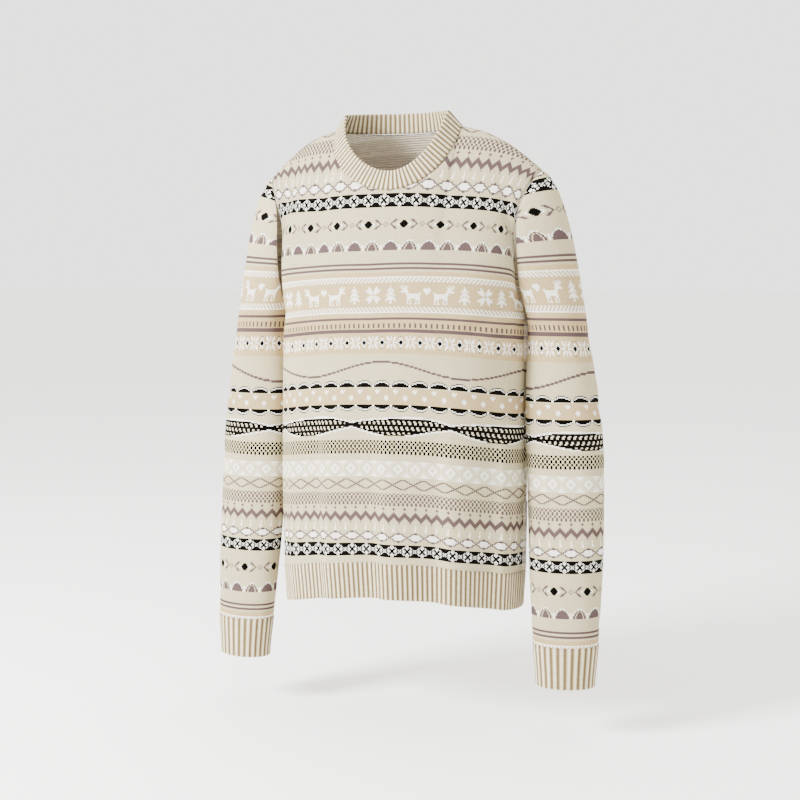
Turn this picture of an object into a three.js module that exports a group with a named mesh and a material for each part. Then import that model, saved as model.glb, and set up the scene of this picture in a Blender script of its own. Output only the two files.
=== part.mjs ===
// A crew-neck jumper knitted in bands of fair isle colourwork, filled out as on a wearer.
// Millimetres, +Z up, the front faces -Y and the wearer's left sleeve is at +X.
// The origin is where the shoulders hold it, between the two neck points.
import * as THREE from "three";
import { mergeVertices } from "three/addons/utils/BufferGeometryUtils.js";

// Cloth and seams.
const JERSEY_WALL = 2.6;
const RIB_WALL = 2.6;
const RIB_RAISE = 1.1;
const SEAM_GAP = 0.35;
const HALF_SEAM = SEAM_GAP / 2;
const QUARTER = Math.PI / 2;

// Heights of the body, at the side seams.
const UNDERARM_Z = -232;
const RIB_TOP_Z = -592;
const HEM_RIB_HEIGHT = 50;
const CHEST_ARCH = 14;
const HEM_TILT = 6; // the hem rides a little higher at the wearer's left

// Shoulders and neck.
const TIP_X = 195;
const TIP_Z = -55;
const SHOULDER_BOW = 12; // how far the shoulder line bows up between neck and tip
const NECK_X = 89;
const NECK_SIDE_Z = 6;
const NECK_RIDGE_RISE = 36; // the shoulder line carried on up the neck
const COLLAR_HEIGHT = 27;
const NECK_MIDDLE_Z = 60; // a height inside the neck that the collar leans towards
const COLLAR_STAND = THREE.MathUtils.degToRad(16); // how far it turns up off the shoulders
const TOP_EASE_FROM = 1.85; // where a panel's cloth starts to turn to the direction of its top edge
const COLLAR_EASE = 0.35; // the part of a turn, in radians, over which its direction is evened

// The armhole is an oval in side view.
const ARMHOLE_Y = 28;
const ARMHOLE_FRONT = 46;
const ARMHOLE_BACK = 52;
const ACROSS_CHEST_X = 170;
const CHEST_X = 172; // at the underarm
const TIP_FLARE_POWER = 2.6; // how soon the armhole leaves the shoulder tip's width
const UNDERARM_FLARE_POWER = 3;
const ARMHOLE_BACK_ROUND = 1.2; // over 1 is flatter than an ellipse

// How the panels round over towards the shoulder line, the neck edge's drop and how far its
// lowest point is pulled to the left, and how much higher the hem rides in the middle.
const FRONT = {
  sign: -1, crest: -92, rollHeight: 240, rollRound: 0.88, neckDrop: 87, neckShift: 9, arch: 25,
};
const BACK = {
  sign: 1, crest: 124, rollHeight: 160, rollRound: 0.75, neckDrop: 3, neckShift: 0, arch: 8,
};
const ROLL_EASE = 0.4; // how much shorter the rounding is at the shoulder tips
const ROLL_POWER = 1.5;
const SECTION_ROUND = 0.88; // under 1 is squarer than an ellipse
const MOST_EDGE_SHARE = 0.75; // how deep a section may still be where it meets the armhole
const EDGE_BLEND_POWER = 6; // how close to the armhole a section is bent to meet it

// The body's sections: half width, front and back reach, and the seam's place.
const BODY = [
  { z: -642, halfWidth: 167, front: -80, back: 132, seamY: 29 },
  { z: -592, halfWidth: 170, front: -86, back: 134, seamY: 29 },
  { z: -480, halfWidth: 172, front: -90, back: 130, seamY: 28 },
  { z: -340, halfWidth: 171, front: -92, back: 126, seamY: 28 },
  { z: -232, halfWidth: CHEST_X, front: -92, back: 124, seamY: 28 },
];

// Hanging folds of the lower body: where each steep side lies across the panel, and its depth.
const FRONT_FOLDS = [
  { at: -0.97, depth: 0 },
  { at: -0.62, depth: 2.2 },
  { at: -0.3, depth: 4.2 },
  { at: 0.02, depth: 4.6 },
  { at: 0.35, depth: 4.4 },
  { at: 0.7, depth: 3.2 },
  { at: 0.98, depth: 0 },
];
const BACK_FOLDS = [
  { at: -0.97, depth: 0 },
  { at: -0.52, depth: 3.2 },
  { at: -0.12, depth: 4.4 },
  { at: 0.24, depth: 3.6 },
  { at: 0.63, depth: 3 },
  { at: 0.98, depth: 0 },
];
const FOLD_TOP_Z = -270;
const FOLD_FULL_Z = -540;
const FOLD_STEEP = 0.15; // the share of a fold that its steep side takes

// The left sleeve's sections below the armhole, turned a little to the front.
const SLEEVE_TURN = THREE.MathUtils.degToRad(12);
const SLEEVE = [
  { z: -235, x: 212, y: 35, half: 37, deep: 38 },
  { z: -300, x: 216.5, y: 34, half: 43, deep: 37 },
  { z: -365, x: 221.5, y: 32, half: 49, deep: 36 },
  { z: -430, x: 225.5, y: 30, half: 51, deep: 35 },
  { z: -500, x: 228, y: 26, half: 50, deep: 34 },
  { z: -570, x: 230, y: 20, half: 48.5, deep: 33 },
  { z: -630, x: 231.5, y: 14, half: 45.5, deep: 31 },
  { z: -675, x: 232.5, y: 10, half: 42.5, deep: 29 },
  { z: -730, x: 233, y: 7, half: 38, deep: 26 },
];
const CAP_END_Z = -300;
const CUFF_TOP_Z = -675;
const CUFF_END_Z = -730;
const CAP_OUT = 0.17; // how far the cap keeps going out before it turns down
const CAP_DOWN = 0.4;

// Directions at the seams, as lengths along the axes that are then scaled to one.
const ARMHOLE_FACING = { out: 0.84, underarmOut: 0.16, tipOut: -0.31, forward: 0.54, tipUp: 0.85 };
const NECK_FACING = { out: 0.53, up: 0.85 };
const NECK_BACK_FACING = { along: 0.7, down: 0.13 };
const NECK_FRONT_FACING = { along: 0.93, down: 0.49, spread: 0.6 };
const CAP_WAY = { out: 0.62, tipOut: 0.24, forward: 0.16, down: 0.66, tipUp: 0.06 };
const COLLAR_BACK_STAND = THREE.MathUtils.degToRad(41); // the same at the middle of the back

// How finely each piece is divided.
const EVEN_SAMPLES = 400; // for places that are the same distance apart
const SLOPE_STEP = 1e-3; // for the slope of a surface
const ALL_ROUND = [-100, 100]; // turns that are never out of range
const ALL_HEIGHTS = [-800, 0];
const NECK_COLUMNS = 12;
const SHOULDER_COLUMNS = 9;
const BODY_ROWS = 11;
const YOKE_ROWS = 12;
const SLEEVE_COLUMNS = 2 * YOKE_ROWS; // one for each row that ends at the armhole
const CAP_ROWS = 8;
const CAP_ROW_SPREAD = 1.15; // over 1 sets the rows closer at the armhole
const ARM_ROWS = 8;
const HEM_RIBS = 64;
const COLLAR_RIBS = 84; // a whole number of ribs on each straight stretch of the neck edge
const CUFF_RIBS = 30;

// Blends a table's rows smoothly, by its z column.
function rowAt(table, z) {
  const ordered = [...table].sort((a, b) => a.z - b.z);
  const last = ordered.length - 1;
  let i = 0;
  while (i < last - 1 && z > ordered[i + 1].z) i += 1;
  const t = THREE.MathUtils.clamp((z - ordered[i].z) / (ordered[i + 1].z - ordered[i].z), 0, 1);
  const row = {};
  for (const key of Object.keys(ordered[0])) {
    const [a, b] = [ordered[i][key], ordered[i + 1][key]];
    const before = ordered[Math.max(i - 1, 0)][key];
    const after = ordered[Math.min(i + 2, last)][key];
    const [slopeA, slopeB] = [(b - before) / 2, (after - a) / 2];
    const [t2, t3] = [t * t, t * t * t];
    row[key] = (2 * t3 - 3 * t2 + 1) * a + (t3 - 2 * t2 + t) * slopeA
      + (3 * t2 - 2 * t3) * b + (t3 - t2) * slopeB;
  }
  return row;
}

// A panel's section turns from one edge to the other; this is its share of the full depth.
function sectionDepth(turn) {
  return Math.max(Math.cos(turn), 0) ** SECTION_ROUND;
}

// How far a panel hangs out of or into its section at a fold, as a wave with one steep side.
function foldDepth(folds, s, z) {
  const ramp = THREE.MathUtils.smoothstep(-z, -FOLD_TOP_Z, -FOLD_FULL_Z);
  let i = 0;
  while (i < folds.length - 2 && s > folds[i + 1].at) i += 1;
  const p = THREE.MathUtils.clamp((s - folds[i].at) / (folds[i + 1].at - folds[i].at), 0, 1);
  let wave = Math.cos(Math.PI * (p - FOLD_STEEP) / (1 - 2 * FOLD_STEEP));
  if (p < FOLD_STEEP) wave = Math.sin(Math.PI * p / (2 * FOLD_STEEP));
  if (p > 1 - FOLD_STEEP) wave = -Math.cos(Math.PI * (p - 1 + FOLD_STEEP) / (2 * FOLD_STEEP));
  return wave * THREE.MathUtils.lerp(folds[i].depth, folds[i + 1].depth, p) * ramp;
}

// A point of the body below the underarm; sideZ is its height at the side seam.
function bodyPoint(side, s, sideZ) {
  const row = rowAt(BODY, sideZ);
  const lift = THREE.MathUtils.mapLinear(sideZ, RIB_TOP_Z, UNDERARM_Z, side.arch, CHEST_ARCH);
  const middle = sectionDepth(s * QUARTER);
  const reach = side === FRONT ? row.front : row.back;
  const x = row.halfWidth * Math.sin(s * QUARTER);
  const y = row.seamY + (reach - row.seamY) * middle;
  const folds = side === FRONT ? FRONT_FOLDS : BACK_FOLDS;
  const tilt = HEM_TILT * THREE.MathUtils.smoothstep(-sideZ, -FOLD_TOP_Z, -BODY[0].z) * x / row.halfWidth;
  const out = new THREE.Vector2(x / row.halfWidth ** 2, (y - row.seamY) / (reach - row.seamY) ** 2);
  out.setLength(foldDepth(folds, s, sideZ));
  return new THREE.Vector3(x + out.x, y + out.y + side.sign * HALF_SEAM, sideZ + lift * middle ** 2 + tilt);
}

// The armhole's oval: a is 0 at the shoulder tip, half a turn at the underarm, front first.
function armholePoint(a) {
  const reach = Math.sin(a) > 0 ? ARMHOLE_FRONT : ARMHOLE_BACK;
  const middleZ = (TIP_Z + UNDERARM_Z) / 2;
  const flare = (TIP_X - ACROSS_CHEST_X) * Math.max(Math.cos(a), 0) ** TIP_FLARE_POWER;
  const underarm = (CHEST_X - ACROSS_CHEST_X) * Math.max(-Math.cos(a), 0) ** UNDERARM_FLARE_POWER;
  const turn = Math.sin(a) > 0 ? Math.sin(a) : -((-Math.sin(a)) ** ARMHOLE_BACK_ROUND);
  return new THREE.Vector3(
    ACROSS_CHEST_X + flare + underarm,
    ARMHOLE_Y - reach * turn,
    middleZ + (TIP_Z - UNDERARM_Z) / 2 * Math.cos(a),
  );
}

// The direction through the cloth all round the armhole, which both pieces of the seam keep.
function armholeNormal(a) {
  const up = Math.max(Math.cos(a), 0) ** 2;
  const down = Math.max(-Math.cos(a), 0);
  const { out, underarmOut, tipOut, forward, tipUp } = ARMHOLE_FACING;
  const across = out + underarmOut * down + tipOut * up;
  return new THREE.Vector3(across, -forward * Math.sin(a), tipUp * up).normalize();
}

// The same for the neck edge; w is 0 at the left neck point and runs round by the front.
function neckNormal(w) {
  const turn = Math.sin(w);
  const across = NECK_FACING.out * Math.cos(w);
  if (turn < 0) {
    const { along, down } = NECK_BACK_FACING;
    return new THREE.Vector3(across, -along * turn, NECK_FACING.up - down * turn * turn).normalize();
  }
  const { along, down, spread } = NECK_FRONT_FACING;
  return new THREE.Vector3(across, -along * turn ** spread, NECK_FACING.up - down * turn).normalize();
}

// The direction in the cloth that leaves a seam: across the seam's line and its normal.
function awayFrom(edge, t, normal, towards, span = SLOPE_STEP) {
  const along = edge(t + span).sub(edge(t - span));
  const away = along.cross(normal).normalize();
  if (away.dot(towards) < 0) away.negate();
  return away;
}

// The height of a panel's top edge: the neck edge in the middle and the shoulder seam beside it.
function topEdgeZ(side, x) {
  const across = x / NECK_X;
  if (Math.abs(across) < 1) {
    const pulled = across - side.neckShift / NECK_X * (1 - across * across);
    return NECK_SIDE_Z - side.neckDrop * Math.sqrt(Math.max(1 - pulled * pulled, 0));
  }
  const out = Math.min((Math.abs(x) - NECK_X) / (TIP_X - NECK_X), 1);
  return THREE.MathUtils.lerp(NECK_SIDE_Z, TIP_Z, out) + SHOULDER_BOW * Math.sin(out * Math.PI);
}

function ridgeZ(x) {
  if (Math.abs(x) < NECK_X) return NECK_SIDE_Z + NECK_RIDGE_RISE * (1 - (x / NECK_X) ** 2);
  return topEdgeZ(FRONT, x);
}

// How far the body has rounded out from the shoulder line, from 0 on it to 1 at the chest.
function rollAt(side, x, z) {
  const height = side.rollHeight * (1 - ROLL_EASE * (x / TIP_X) ** 2);
  const below = THREE.MathUtils.clamp((ridgeZ(x) - z) / height, 0, 1);
  return (1 - (1 - below) ** ROLL_POWER) ** side.rollRound;
}

function shoulderY(x) {
  return ARMHOLE_Y * Math.min(Math.abs(x) / TIP_X, 1) ** 2;
}

// A point of the body above the underarm; up runs from 0 there to 1 at the top edge.
function yokePoint(side, s, up) {
  const a = Math.acos(THREE.MathUtils.clamp(2 * up - 1, -1, 1));
  const edge = armholePoint(side === FRONT ? a : -a);
  const across = Math.sin(s * QUARTER);
  const startZ = UNDERARM_Z + CHEST_ARCH * sectionDepth(s * QUARTER) ** 2;
  const z = THREE.MathUtils.lerp(startZ, topEdgeZ(side, TIP_X * across), up);
  const eased = THREE.MathUtils.smoothstep(up, 0, 1);
  const baseAt = (px) => THREE.MathUtils.lerp(ARMHOLE_Y, shoulderY(px), eased);
  const reachAt = (px, pz) => (side.crest - baseAt(px)) * rollAt(side, px, pz);
  const edgeReach = reachAt(edge.x, edge.z);
  const edgeRise = edge.y - baseAt(edge.x);
  const wanted = edgeReach === 0 ? MOST_EDGE_SHARE : edgeRise / edgeReach;
  const edgeShare = THREE.MathUtils.clamp(wanted, 0, MOST_EDGE_SHARE);
  const turn = Math.acos(edgeShare ** (1 / SECTION_ROUND));
  const depthAt = (share) => sectionDepth(Math.asin(share * Math.sin(turn)));
  const miss = edgeRise - edgeReach * depthAt(1);
  const outer = THREE.MathUtils.smoothstep(Math.abs(across) * TIP_X, NECK_X, TIP_X);
  const x = across * THREE.MathUtils.lerp(THREE.MathUtils.lerp(CHEST_X, TIP_X, up), edge.x, outer);
  const y = baseAt(x) + reachAt(x, z) * depthAt(across) + miss * across ** EDGE_BLEND_POWER;
  return new THREE.Vector3(x, y + side.sign * HALF_SEAM, z);
}

// The whole panel: v runs from 0 at the hem rib through 1 at the underarm to 2 at the top edge.
function panelPoint(side, s, v) {
  if (v <= 1) return bodyPoint(side, s, THREE.MathUtils.lerp(RIB_TOP_Z, UNDERARM_Z, v));
  return yokePoint(side, s, v - 1);
}

// The outward normal of a surface that is given as a function of two numbers.
function normalOf(surface, u, v, limits, outward) {
  const [u0, u1] = [Math.max(u - SLOPE_STEP, limits.u[0]), Math.min(u + SLOPE_STEP, limits.u[1])];
  const [v0, v1] = [Math.max(v - SLOPE_STEP, limits.v[0]), Math.min(v + SLOPE_STEP, limits.v[1])];
  const alongU = surface(u1, v).sub(surface(u0, v));
  const alongV = surface(u, v1).sub(surface(u, v0));
  const normal = alongU.cross(alongV).normalize();
  if (normal.dot(outward) < 0) normal.negate();
  return normal;
}

// A closed solid between two grids of points with the same rows and columns.
function shellGeometry(outer, inner, closed) {
  const rows = outer.length;
  const columns = outer[0].length;
  const points = [];
  for (const grid of [outer, inner]) {
    for (const row of grid) {
      for (const p of row) points.push(p.x, p.y, p.z);
    }
  }
  const index = [];
  const at = (layer, r, c) => layer * rows * columns + r * columns + (c % columns);
  const quad = (a, b, c, d) => index.push(a, b, c, a, c, d);
  const spans = closed ? columns : columns - 1;
  for (let r = 0; r < rows - 1; r += 1) {
    for (let c = 0; c < spans; c += 1) {
      quad(at(0, r, c), at(0, r, c + 1), at(0, r + 1, c + 1), at(0, r + 1, c));
      quad(at(1, r, c), at(1, r + 1, c), at(1, r + 1, c + 1), at(1, r, c + 1));
    }
  }
  for (let c = 0; c < spans; c += 1) {
    quad(at(0, 0, c), at(1, 0, c), at(1, 0, c + 1), at(0, 0, c + 1));
    const top = rows - 1;
    quad(at(0, top, c), at(0, top, c + 1), at(1, top, c + 1), at(1, top, c));
  }
  for (let r = 0; r < rows - 1 && !closed; r += 1) {
    const end = columns - 1;
    quad(at(0, r, 0), at(0, r + 1, 0), at(1, r + 1, 0), at(1, r, 0));
    quad(at(0, r, end), at(1, r, end), at(1, r + 1, end), at(0, r + 1, end));
  }
  const geometry = new THREE.BufferGeometry();
  geometry.setAttribute("position", new THREE.Float32BufferAttribute(points, 3));
  geometry.setIndex(volumeOf(points, index) < 0 ? index.reverse() : index);
  return mergeVertices(geometry, 1e-4);
}

function volumeOf(points, index) {
  const corner = (i) => new THREE.Vector3(points[3 * i], points[3 * i + 1], points[3 * i + 2]);
  let sum = 0;
  for (let i = 0; i < index.length; i += 3) {
    sum += corner(index[i]).dot(corner(index[i + 1]).cross(corner(index[i + 2])));
  }
  return sum / 6;
}

// The places across a panel where its columns stand, with one at each neck point.
function panelColumns() {
  const right = [];
  const half = NECK_COLUMNS / 2;
  for (let i = 1; i <= half; i += 1) right.push(neckColumn(Math.sin(i / half * Math.PI / 2)));
  for (let i = 1; i <= SHOULDER_COLUMNS; i += 1) {
    right.push(THREE.MathUtils.lerp(neckColumn(1), 1, i / SHOULDER_COLUMNS));
  }
  return [...right.map((s) => -s).reverse(), 0, ...right];
}

// The column that ends at a share of the way from the middle to the neck point.
function neckColumn(share) {
  return Math.asin(share * NECK_X / TIP_X) / QUARTER;
}

function panelRows() {
  const rows = [];
  for (let i = 0; i <= BODY_ROWS; i += 1) rows.push(i / BODY_ROWS);
  for (let i = 1; i <= YOKE_ROWS; i += 1) rows.push(1 + (1 - Math.cos(i / YOKE_ROWS * Math.PI)) / 2);
  return rows;
}

// The direction through the cloth at a panel's top edge: along the neck, or on the shoulder seam.
function topNormal(side, s) {
  const x = TIP_X * Math.sin(s * QUARTER);
  if (Math.abs(x) < NECK_X + 1) {
    return neckNormal(-side.sign * Math.acos(THREE.MathUtils.clamp(x / NECK_X, -1, 1)));
  }
  return new THREE.Vector3(Math.sign(s) * (NECK_SIDE_Z - TIP_Z), 0, TIP_X - NECK_X).normalize();
}

// The direction through the cloth, kept in the seam's plane where two panels meet.
function panelNormal(side, s, v) {
  if (Math.abs(s) === 1) {
    const edge = v <= 1 ? new THREE.Vector3(1, 0, 0) : armholeNormal(-side.sign * Math.acos(2 * v - 3));
    return edge.multiply(new THREE.Vector3(Math.sign(s), 1, 1));
  }
  const facing = new THREE.Vector3(Math.sign(s) * Math.abs(s) ** 3, side.sign, v > 1.8 ? 0.8 : 0);
  const limits = { u: [-1, 1], v: [0, 2] };
  const normal = normalOf((a, b) => panelPoint(side, a, b), s, Math.min(v, TOP_EASE_FROM), limits, facing);
  if (v <= TOP_EASE_FROM) return normal;
  return normal.lerp(topNormal(side, s), (v - TOP_EASE_FROM) / (2 - TOP_EASE_FROM)).normalize();
}

function panelGeometry(side) {
  const outer = [];
  const inner = [];
  for (const v of panelRows()) {
    const columns = panelColumns();
    const points = columns.map((s) => panelPoint(side, s, v));
    outer.push(points);
    inner.push(columns.map((s, i) => points[i].clone().addScaledVector(panelNormal(side, s, v), -JERSEY_WALL)));
  }
  return shellGeometry(outer, inner, false);
}

// Places across a panel that are the same distance apart along the hem.
function evenAcross(side, count) {
  const lengths = [0];
  const place = (i) => -1 + 2 * i / EVEN_SAMPLES;
  for (let i = 1; i <= EVEN_SAMPLES; i += 1) {
    const step = bodyPoint(side, place(i), RIB_TOP_Z).distanceTo(bodyPoint(side, place(i - 1), RIB_TOP_Z));
    lengths.push(lengths[i - 1] + step);
  }
  const result = [];
  let i = 0;
  for (let k = 0; k <= count; k += 1) {
    const goal = lengths[EVEN_SAMPLES] * k / count;
    while (i < EVEN_SAMPLES - 1 && lengths[i + 1] < goal) i += 1;
    const part = (goal - lengths[i]) / (lengths[i + 1] - lengths[i]);
    result.push(THREE.MathUtils.lerp(place(i), place(i + 1), part));
  }
  result[0] = -1;
  result[count] = 1;
  return result;
}

// A rib stands proud on every other column, and never on a seam's own column.
function ribRaise(i, count, closed) {
  if (!closed && (i === 0 || i === count)) return 0;
  return i % 2 === 1 ? RIB_RAISE : 0;
}

// Half of the ribbed hem, hung just under its panel.
function hemGeometry(side) {
  const count = HEM_RIBS * 2;
  const places = evenAcross(side, count);
  const outer = [];
  const inner = [];
  for (const part of [0, 0.5, 1]) {
    const sideZ = RIB_TOP_Z - SEAM_GAP - (HEM_RIB_HEIGHT - SEAM_GAP) * part;
    const surface = (s, z) => bodyPoint(side, s, z);
    const limits = { u: [-1, 1], v: ALL_HEIGHTS };
    const normals = places.map((s) => {
      if (Math.abs(s) === 1) return new THREE.Vector3(s, 0, 0);
      return normalOf(surface, s, sideZ, limits, new THREE.Vector3(s, side.sign, 0));
    });
    const points = places.map((s) => bodyPoint(side, s, sideZ));
    outer.push(points.map((p, i) => p.clone().addScaledVector(normals[i], ribRaise(i, count, false))));
    inner.push(points.map((p, i) => p.clone().addScaledVector(normals[i], -RIB_WALL)));
  }
  return shellGeometry(outer, inner, false);
}

// A point of the left sleeve's section at height z, a as for the armhole.
function armPoint(a, z) {
  const row = rowAt(SLEEVE, z);
  const outward = row.half * Math.cos(a);
  const forward = row.deep * Math.sin(a);
  return new THREE.Vector3(
    row.x + outward * Math.cos(SLEEVE_TURN) + forward * Math.sin(SLEEVE_TURN),
    row.y + outward * Math.sin(SLEEVE_TURN) - forward * Math.cos(SLEEVE_TURN),
    z,
  );
}

// The way that the cloth leaves the armhole: out, a little away from the middle, and down.
function capDirection(a) {
  const out = CAP_WAY.out + CAP_WAY.tipOut * Math.cos(a);
  const up = -CAP_WAY.down + CAP_WAY.tipUp * Math.cos(a);
  return new THREE.Vector3(out, -CAP_WAY.forward * Math.sin(a), up).normalize();
}

// The left sleeve: v runs from 0 at the armhole through 1 under the cap to 2 at the cuff.
function sleevePoint(a, v) {
  if (v > 1) return armPoint(a, THREE.MathUtils.lerp(CAP_END_Z, CUFF_TOP_Z, v - 1));
  const away = awayFrom(armholePoint, a, armholeNormal(a), capDirection(a));
  const start = armholePoint(a).addScaledVector(away, SEAM_GAP);
  const end = armPoint(a, CAP_END_Z);
  const reach = start.distanceTo(end);
  const below = armPoint(a, CAP_END_Z - 1).sub(end).normalize();
  const curve = new THREE.CubicBezierCurve3(
    start,
    start.clone().addScaledVector(capDirection(a), reach * CAP_OUT),
    end.clone().addScaledVector(below, -reach * CAP_DOWN),
    end,
  );
  return curve.getPoint(v);
}

function sleeveNormal(a, v) {
  if (v === 0) return armholeNormal(a);
  const facing = new THREE.Vector3(Math.cos(a), -Math.sin(a), v < 0.3 ? 0.5 * Math.cos(a) : 0);
  const limits = { u: ALL_ROUND, v: [0, 2] };
  return normalOf(sleevePoint, a, v, limits, facing);
}

function sleeveGeometry() {
  const rows = [];
  for (let i = 0; i <= CAP_ROWS; i += 1) rows.push((i / CAP_ROWS) ** CAP_ROW_SPREAD);
  for (let i = 1; i <= ARM_ROWS; i += 1) rows.push(1 + i / ARM_ROWS);
  const outer = [];
  const inner = [];
  for (const v of rows) {
    const turns = Array.from({ length: SLEEVE_COLUMNS }, (_, i) => i / SLEEVE_COLUMNS * 2 * Math.PI);
    const points = turns.map((a) => sleevePoint(a, v));
    outer.push(points);
    inner.push(points.map((p, i) => p.clone().addScaledVector(sleeveNormal(turns[i], v), -JERSEY_WALL)));
  }
  return shellGeometry(outer, inner, true);
}

function cuffGeometry() {
  const count = CUFF_RIBS * 2;
  const outer = [];
  const inner = [];
  for (const part of [0, 0.5, 1]) {
    const z = THREE.MathUtils.lerp(CUFF_TOP_Z - SEAM_GAP, CUFF_END_Z, part);
    const outerRow = [];
    const innerRow = [];
    for (let i = 0; i < count; i += 1) {
      const a = i / count * 2 * Math.PI;
      const facing = new THREE.Vector3(Math.cos(a), -Math.sin(a), 0);
      const normal = normalOf(armPoint, a, z, { u: ALL_ROUND, v: ALL_HEIGHTS }, facing);
      const p = armPoint(a, z);
      outerRow.push(p.clone().addScaledVector(normal, ribRaise(i, count, true)));
      innerRow.push(p.clone().addScaledVector(normal, -RIB_WALL));
    }
    outer.push(outerRow);
    inner.push(innerRow);
  }
  return shellGeometry(outer, inner, true);
}

// The neck edge as one loop: w is 0 at the left neck point and runs round by the front.
function neckEdge(w) {
  return yokePoint(Math.sin(w) >= 0 ? FRONT : BACK, neckColumn(Math.cos(w)), 1);
}

// The direction in the cloth from the neck edge to the middle of the neck's opening.
function neckAway(w, span) {
  const towards = new THREE.Vector3(0, 0, NECK_MIDDLE_Z).sub(neckEdge(w));
  return awayFrom(neckEdge, w, neckNormal(w), towards, span);
}

// A value on the straight stretches between the panels' own corners at the neck edge.
function onNeckStretch(value, w) {
  const stretch = Math.PI / NECK_COLUMNS;
  const start = Math.floor(w / stretch + 1e-9);
  return value(start * stretch).lerp(value((start + 1) * stretch), w / stretch - start);
}

// The collar carries the front on and stands up steeper at the sides and the back.
function collarPoint(w, part) {
  const turn = Math.sin(w);
  const stand = THREE.MathUtils.lerp(COLLAR_STAND, turn > 0 ? 0 : COLLAR_BACK_STAND, turn * turn);
  const normal = neckNormal(w);
  const rise = neckAway(w, COLLAR_EASE).multiplyScalar(Math.cos(stand));
  rise.addScaledVector(normal, Math.sin(stand));
  const seam = (t) => neckEdge(t).addScaledVector(neckAway(t), SEAM_GAP);
  return onNeckStretch(seam, w).addScaledVector(rise, COLLAR_HEIGHT * part);
}

function collarGeometry() {
  const count = COLLAR_RIBS * 2;
  const outer = [];
  const inner = [];
  for (const part of [0, 0.5, 1]) {
    const outerRow = [];
    const innerRow = [];
    for (let i = 0; i < count; i += 1) {
      const w = i / count * 2 * Math.PI;
      const facing = new THREE.Vector3(Math.cos(w), -Math.sin(w), 0.2);
      const limits = { u: ALL_ROUND, v: [0, 1] };
      const atSeam = onNeckStretch(neckNormal, w);
      const normal = part === 0 ? atSeam : normalOf(collarPoint, w, part, limits, facing);
      const p = collarPoint(w, part);
      outerRow.push(p.clone().addScaledVector(normal, ribRaise(i, count, true)));
      innerRow.push(p.clone().addScaledVector(normal, -RIB_WALL));
    }
    outer.push(outerRow);
    inner.push(innerRow);
  }
  return shellGeometry(outer, inner, true);
}

// A copy of a piece for the wearer's other side, turned so that its faces still point out.
function mirrored(geometry) {
  const copy = geometry.clone().scale(-1, 1, 1);
  copy.setIndex([...copy.index.array].reverse());
  return copy;
}

function pieceOf(name, geometry, color) {
  const material = new THREE.MeshStandardMaterial({ color, roughness: 0.95, metalness: 0 });
  const mesh = new THREE.Mesh(geometry, material);
  mesh.name = name;
  return mesh;
}

const JERSEY_COLOUR = "#ddd5c2";
const RIB_COLOUR = "#e3dccb";

const jumper = new THREE.Group();
jumper.add(pieceOf("front_panel", panelGeometry(FRONT), JERSEY_COLOUR));
jumper.add(pieceOf("back_panel", panelGeometry(BACK), JERSEY_COLOUR));
jumper.add(pieceOf("sleeve_left", sleeveGeometry(), JERSEY_COLOUR));
jumper.add(pieceOf("sleeve_right", mirrored(sleeveGeometry()), JERSEY_COLOUR));
jumper.add(pieceOf("collar_rib", collarGeometry(), RIB_COLOUR));
jumper.add(pieceOf("hem_rib_front", hemGeometry(FRONT), RIB_COLOUR));
jumper.add(pieceOf("hem_rib_back", hemGeometry(BACK), RIB_COLOUR));
jumper.add(pieceOf("cuff_left", cuffGeometry(), RIB_COLOUR));
jumper.add(pieceOf("cuff_right", mirrored(cuffGeometry()), RIB_COLOUR));

export default jumper;
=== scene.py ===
"""A crew-neck fair isle jumper, filled out as on a wearer, with nobody in it.

Metres, +Z up, the front faces -Y and the wearer's left sleeve is at +X.
"""
import logging
import math
from dataclasses import dataclass
from enum import Enum
from typing import Callable, Sequence

import bpy
import numpy as np
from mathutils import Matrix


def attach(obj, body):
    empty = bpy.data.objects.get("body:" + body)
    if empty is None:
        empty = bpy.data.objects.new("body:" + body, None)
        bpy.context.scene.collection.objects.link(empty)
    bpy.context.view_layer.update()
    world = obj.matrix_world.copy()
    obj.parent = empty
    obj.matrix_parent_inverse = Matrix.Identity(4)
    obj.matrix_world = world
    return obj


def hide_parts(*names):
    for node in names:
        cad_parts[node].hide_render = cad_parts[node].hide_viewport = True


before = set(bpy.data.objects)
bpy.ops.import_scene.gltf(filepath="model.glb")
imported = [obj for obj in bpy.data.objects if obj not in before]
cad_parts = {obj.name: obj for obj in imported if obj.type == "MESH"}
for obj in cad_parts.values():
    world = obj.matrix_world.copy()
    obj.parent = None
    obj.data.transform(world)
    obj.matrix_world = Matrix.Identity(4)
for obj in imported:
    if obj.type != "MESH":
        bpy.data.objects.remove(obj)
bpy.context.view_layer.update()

LOG = logging.getLogger("jumper")

# One stitch of the jersey.
STITCH_WIDTH = 0.0015
ROW_HEIGHT = 0.0015
REPEAT_ROWS = 305  # rows before the whole set of bands comes again
QUARTER = math.pi / 2
ARC_SAMPLES = 2001  # points along a course when its length is measured
SAME_LENGTH = 1e-5  # lengths nearer than this are taken for one
INSIDE_STEP = 8  # stitches under one face of the inner skin
CREASE_FADE = (-0.25, 0.3)  # where a crease sets in, as shares of its length

# How the inner face's colour is mixed: from the stitches there, from the whole row, and plain.
FLOAT_OWN_SHARE = 0.25
FLOAT_ROW_SHARE = 0.35
FLOAT_PLAIN_SHARE = 0.4

# The wool's tufts, about 1 mm apart, how far tufts and stitches vary the yarn's tone at random and how far
# tufts raise its bump, and how much shade is painted into the grooves between stitches.
FLUFF_SCALE = 900.0
FLUFF_SHADE = 0.26
FLUFF_BASE = 0.81
FLUFF_BUMP = 0.3
MOTTLE_SHADE = 0.14
PAINTED_GROOVE_SHADE = 0.26
PAINTED_GROOVE_BASE = 0.82
STITCH_SLANT = 0.6  # how far a leg of a V rises across half a stitch, in rows
ROW_ROUND = 0.6
LEG_ROUND = 0.4


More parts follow.
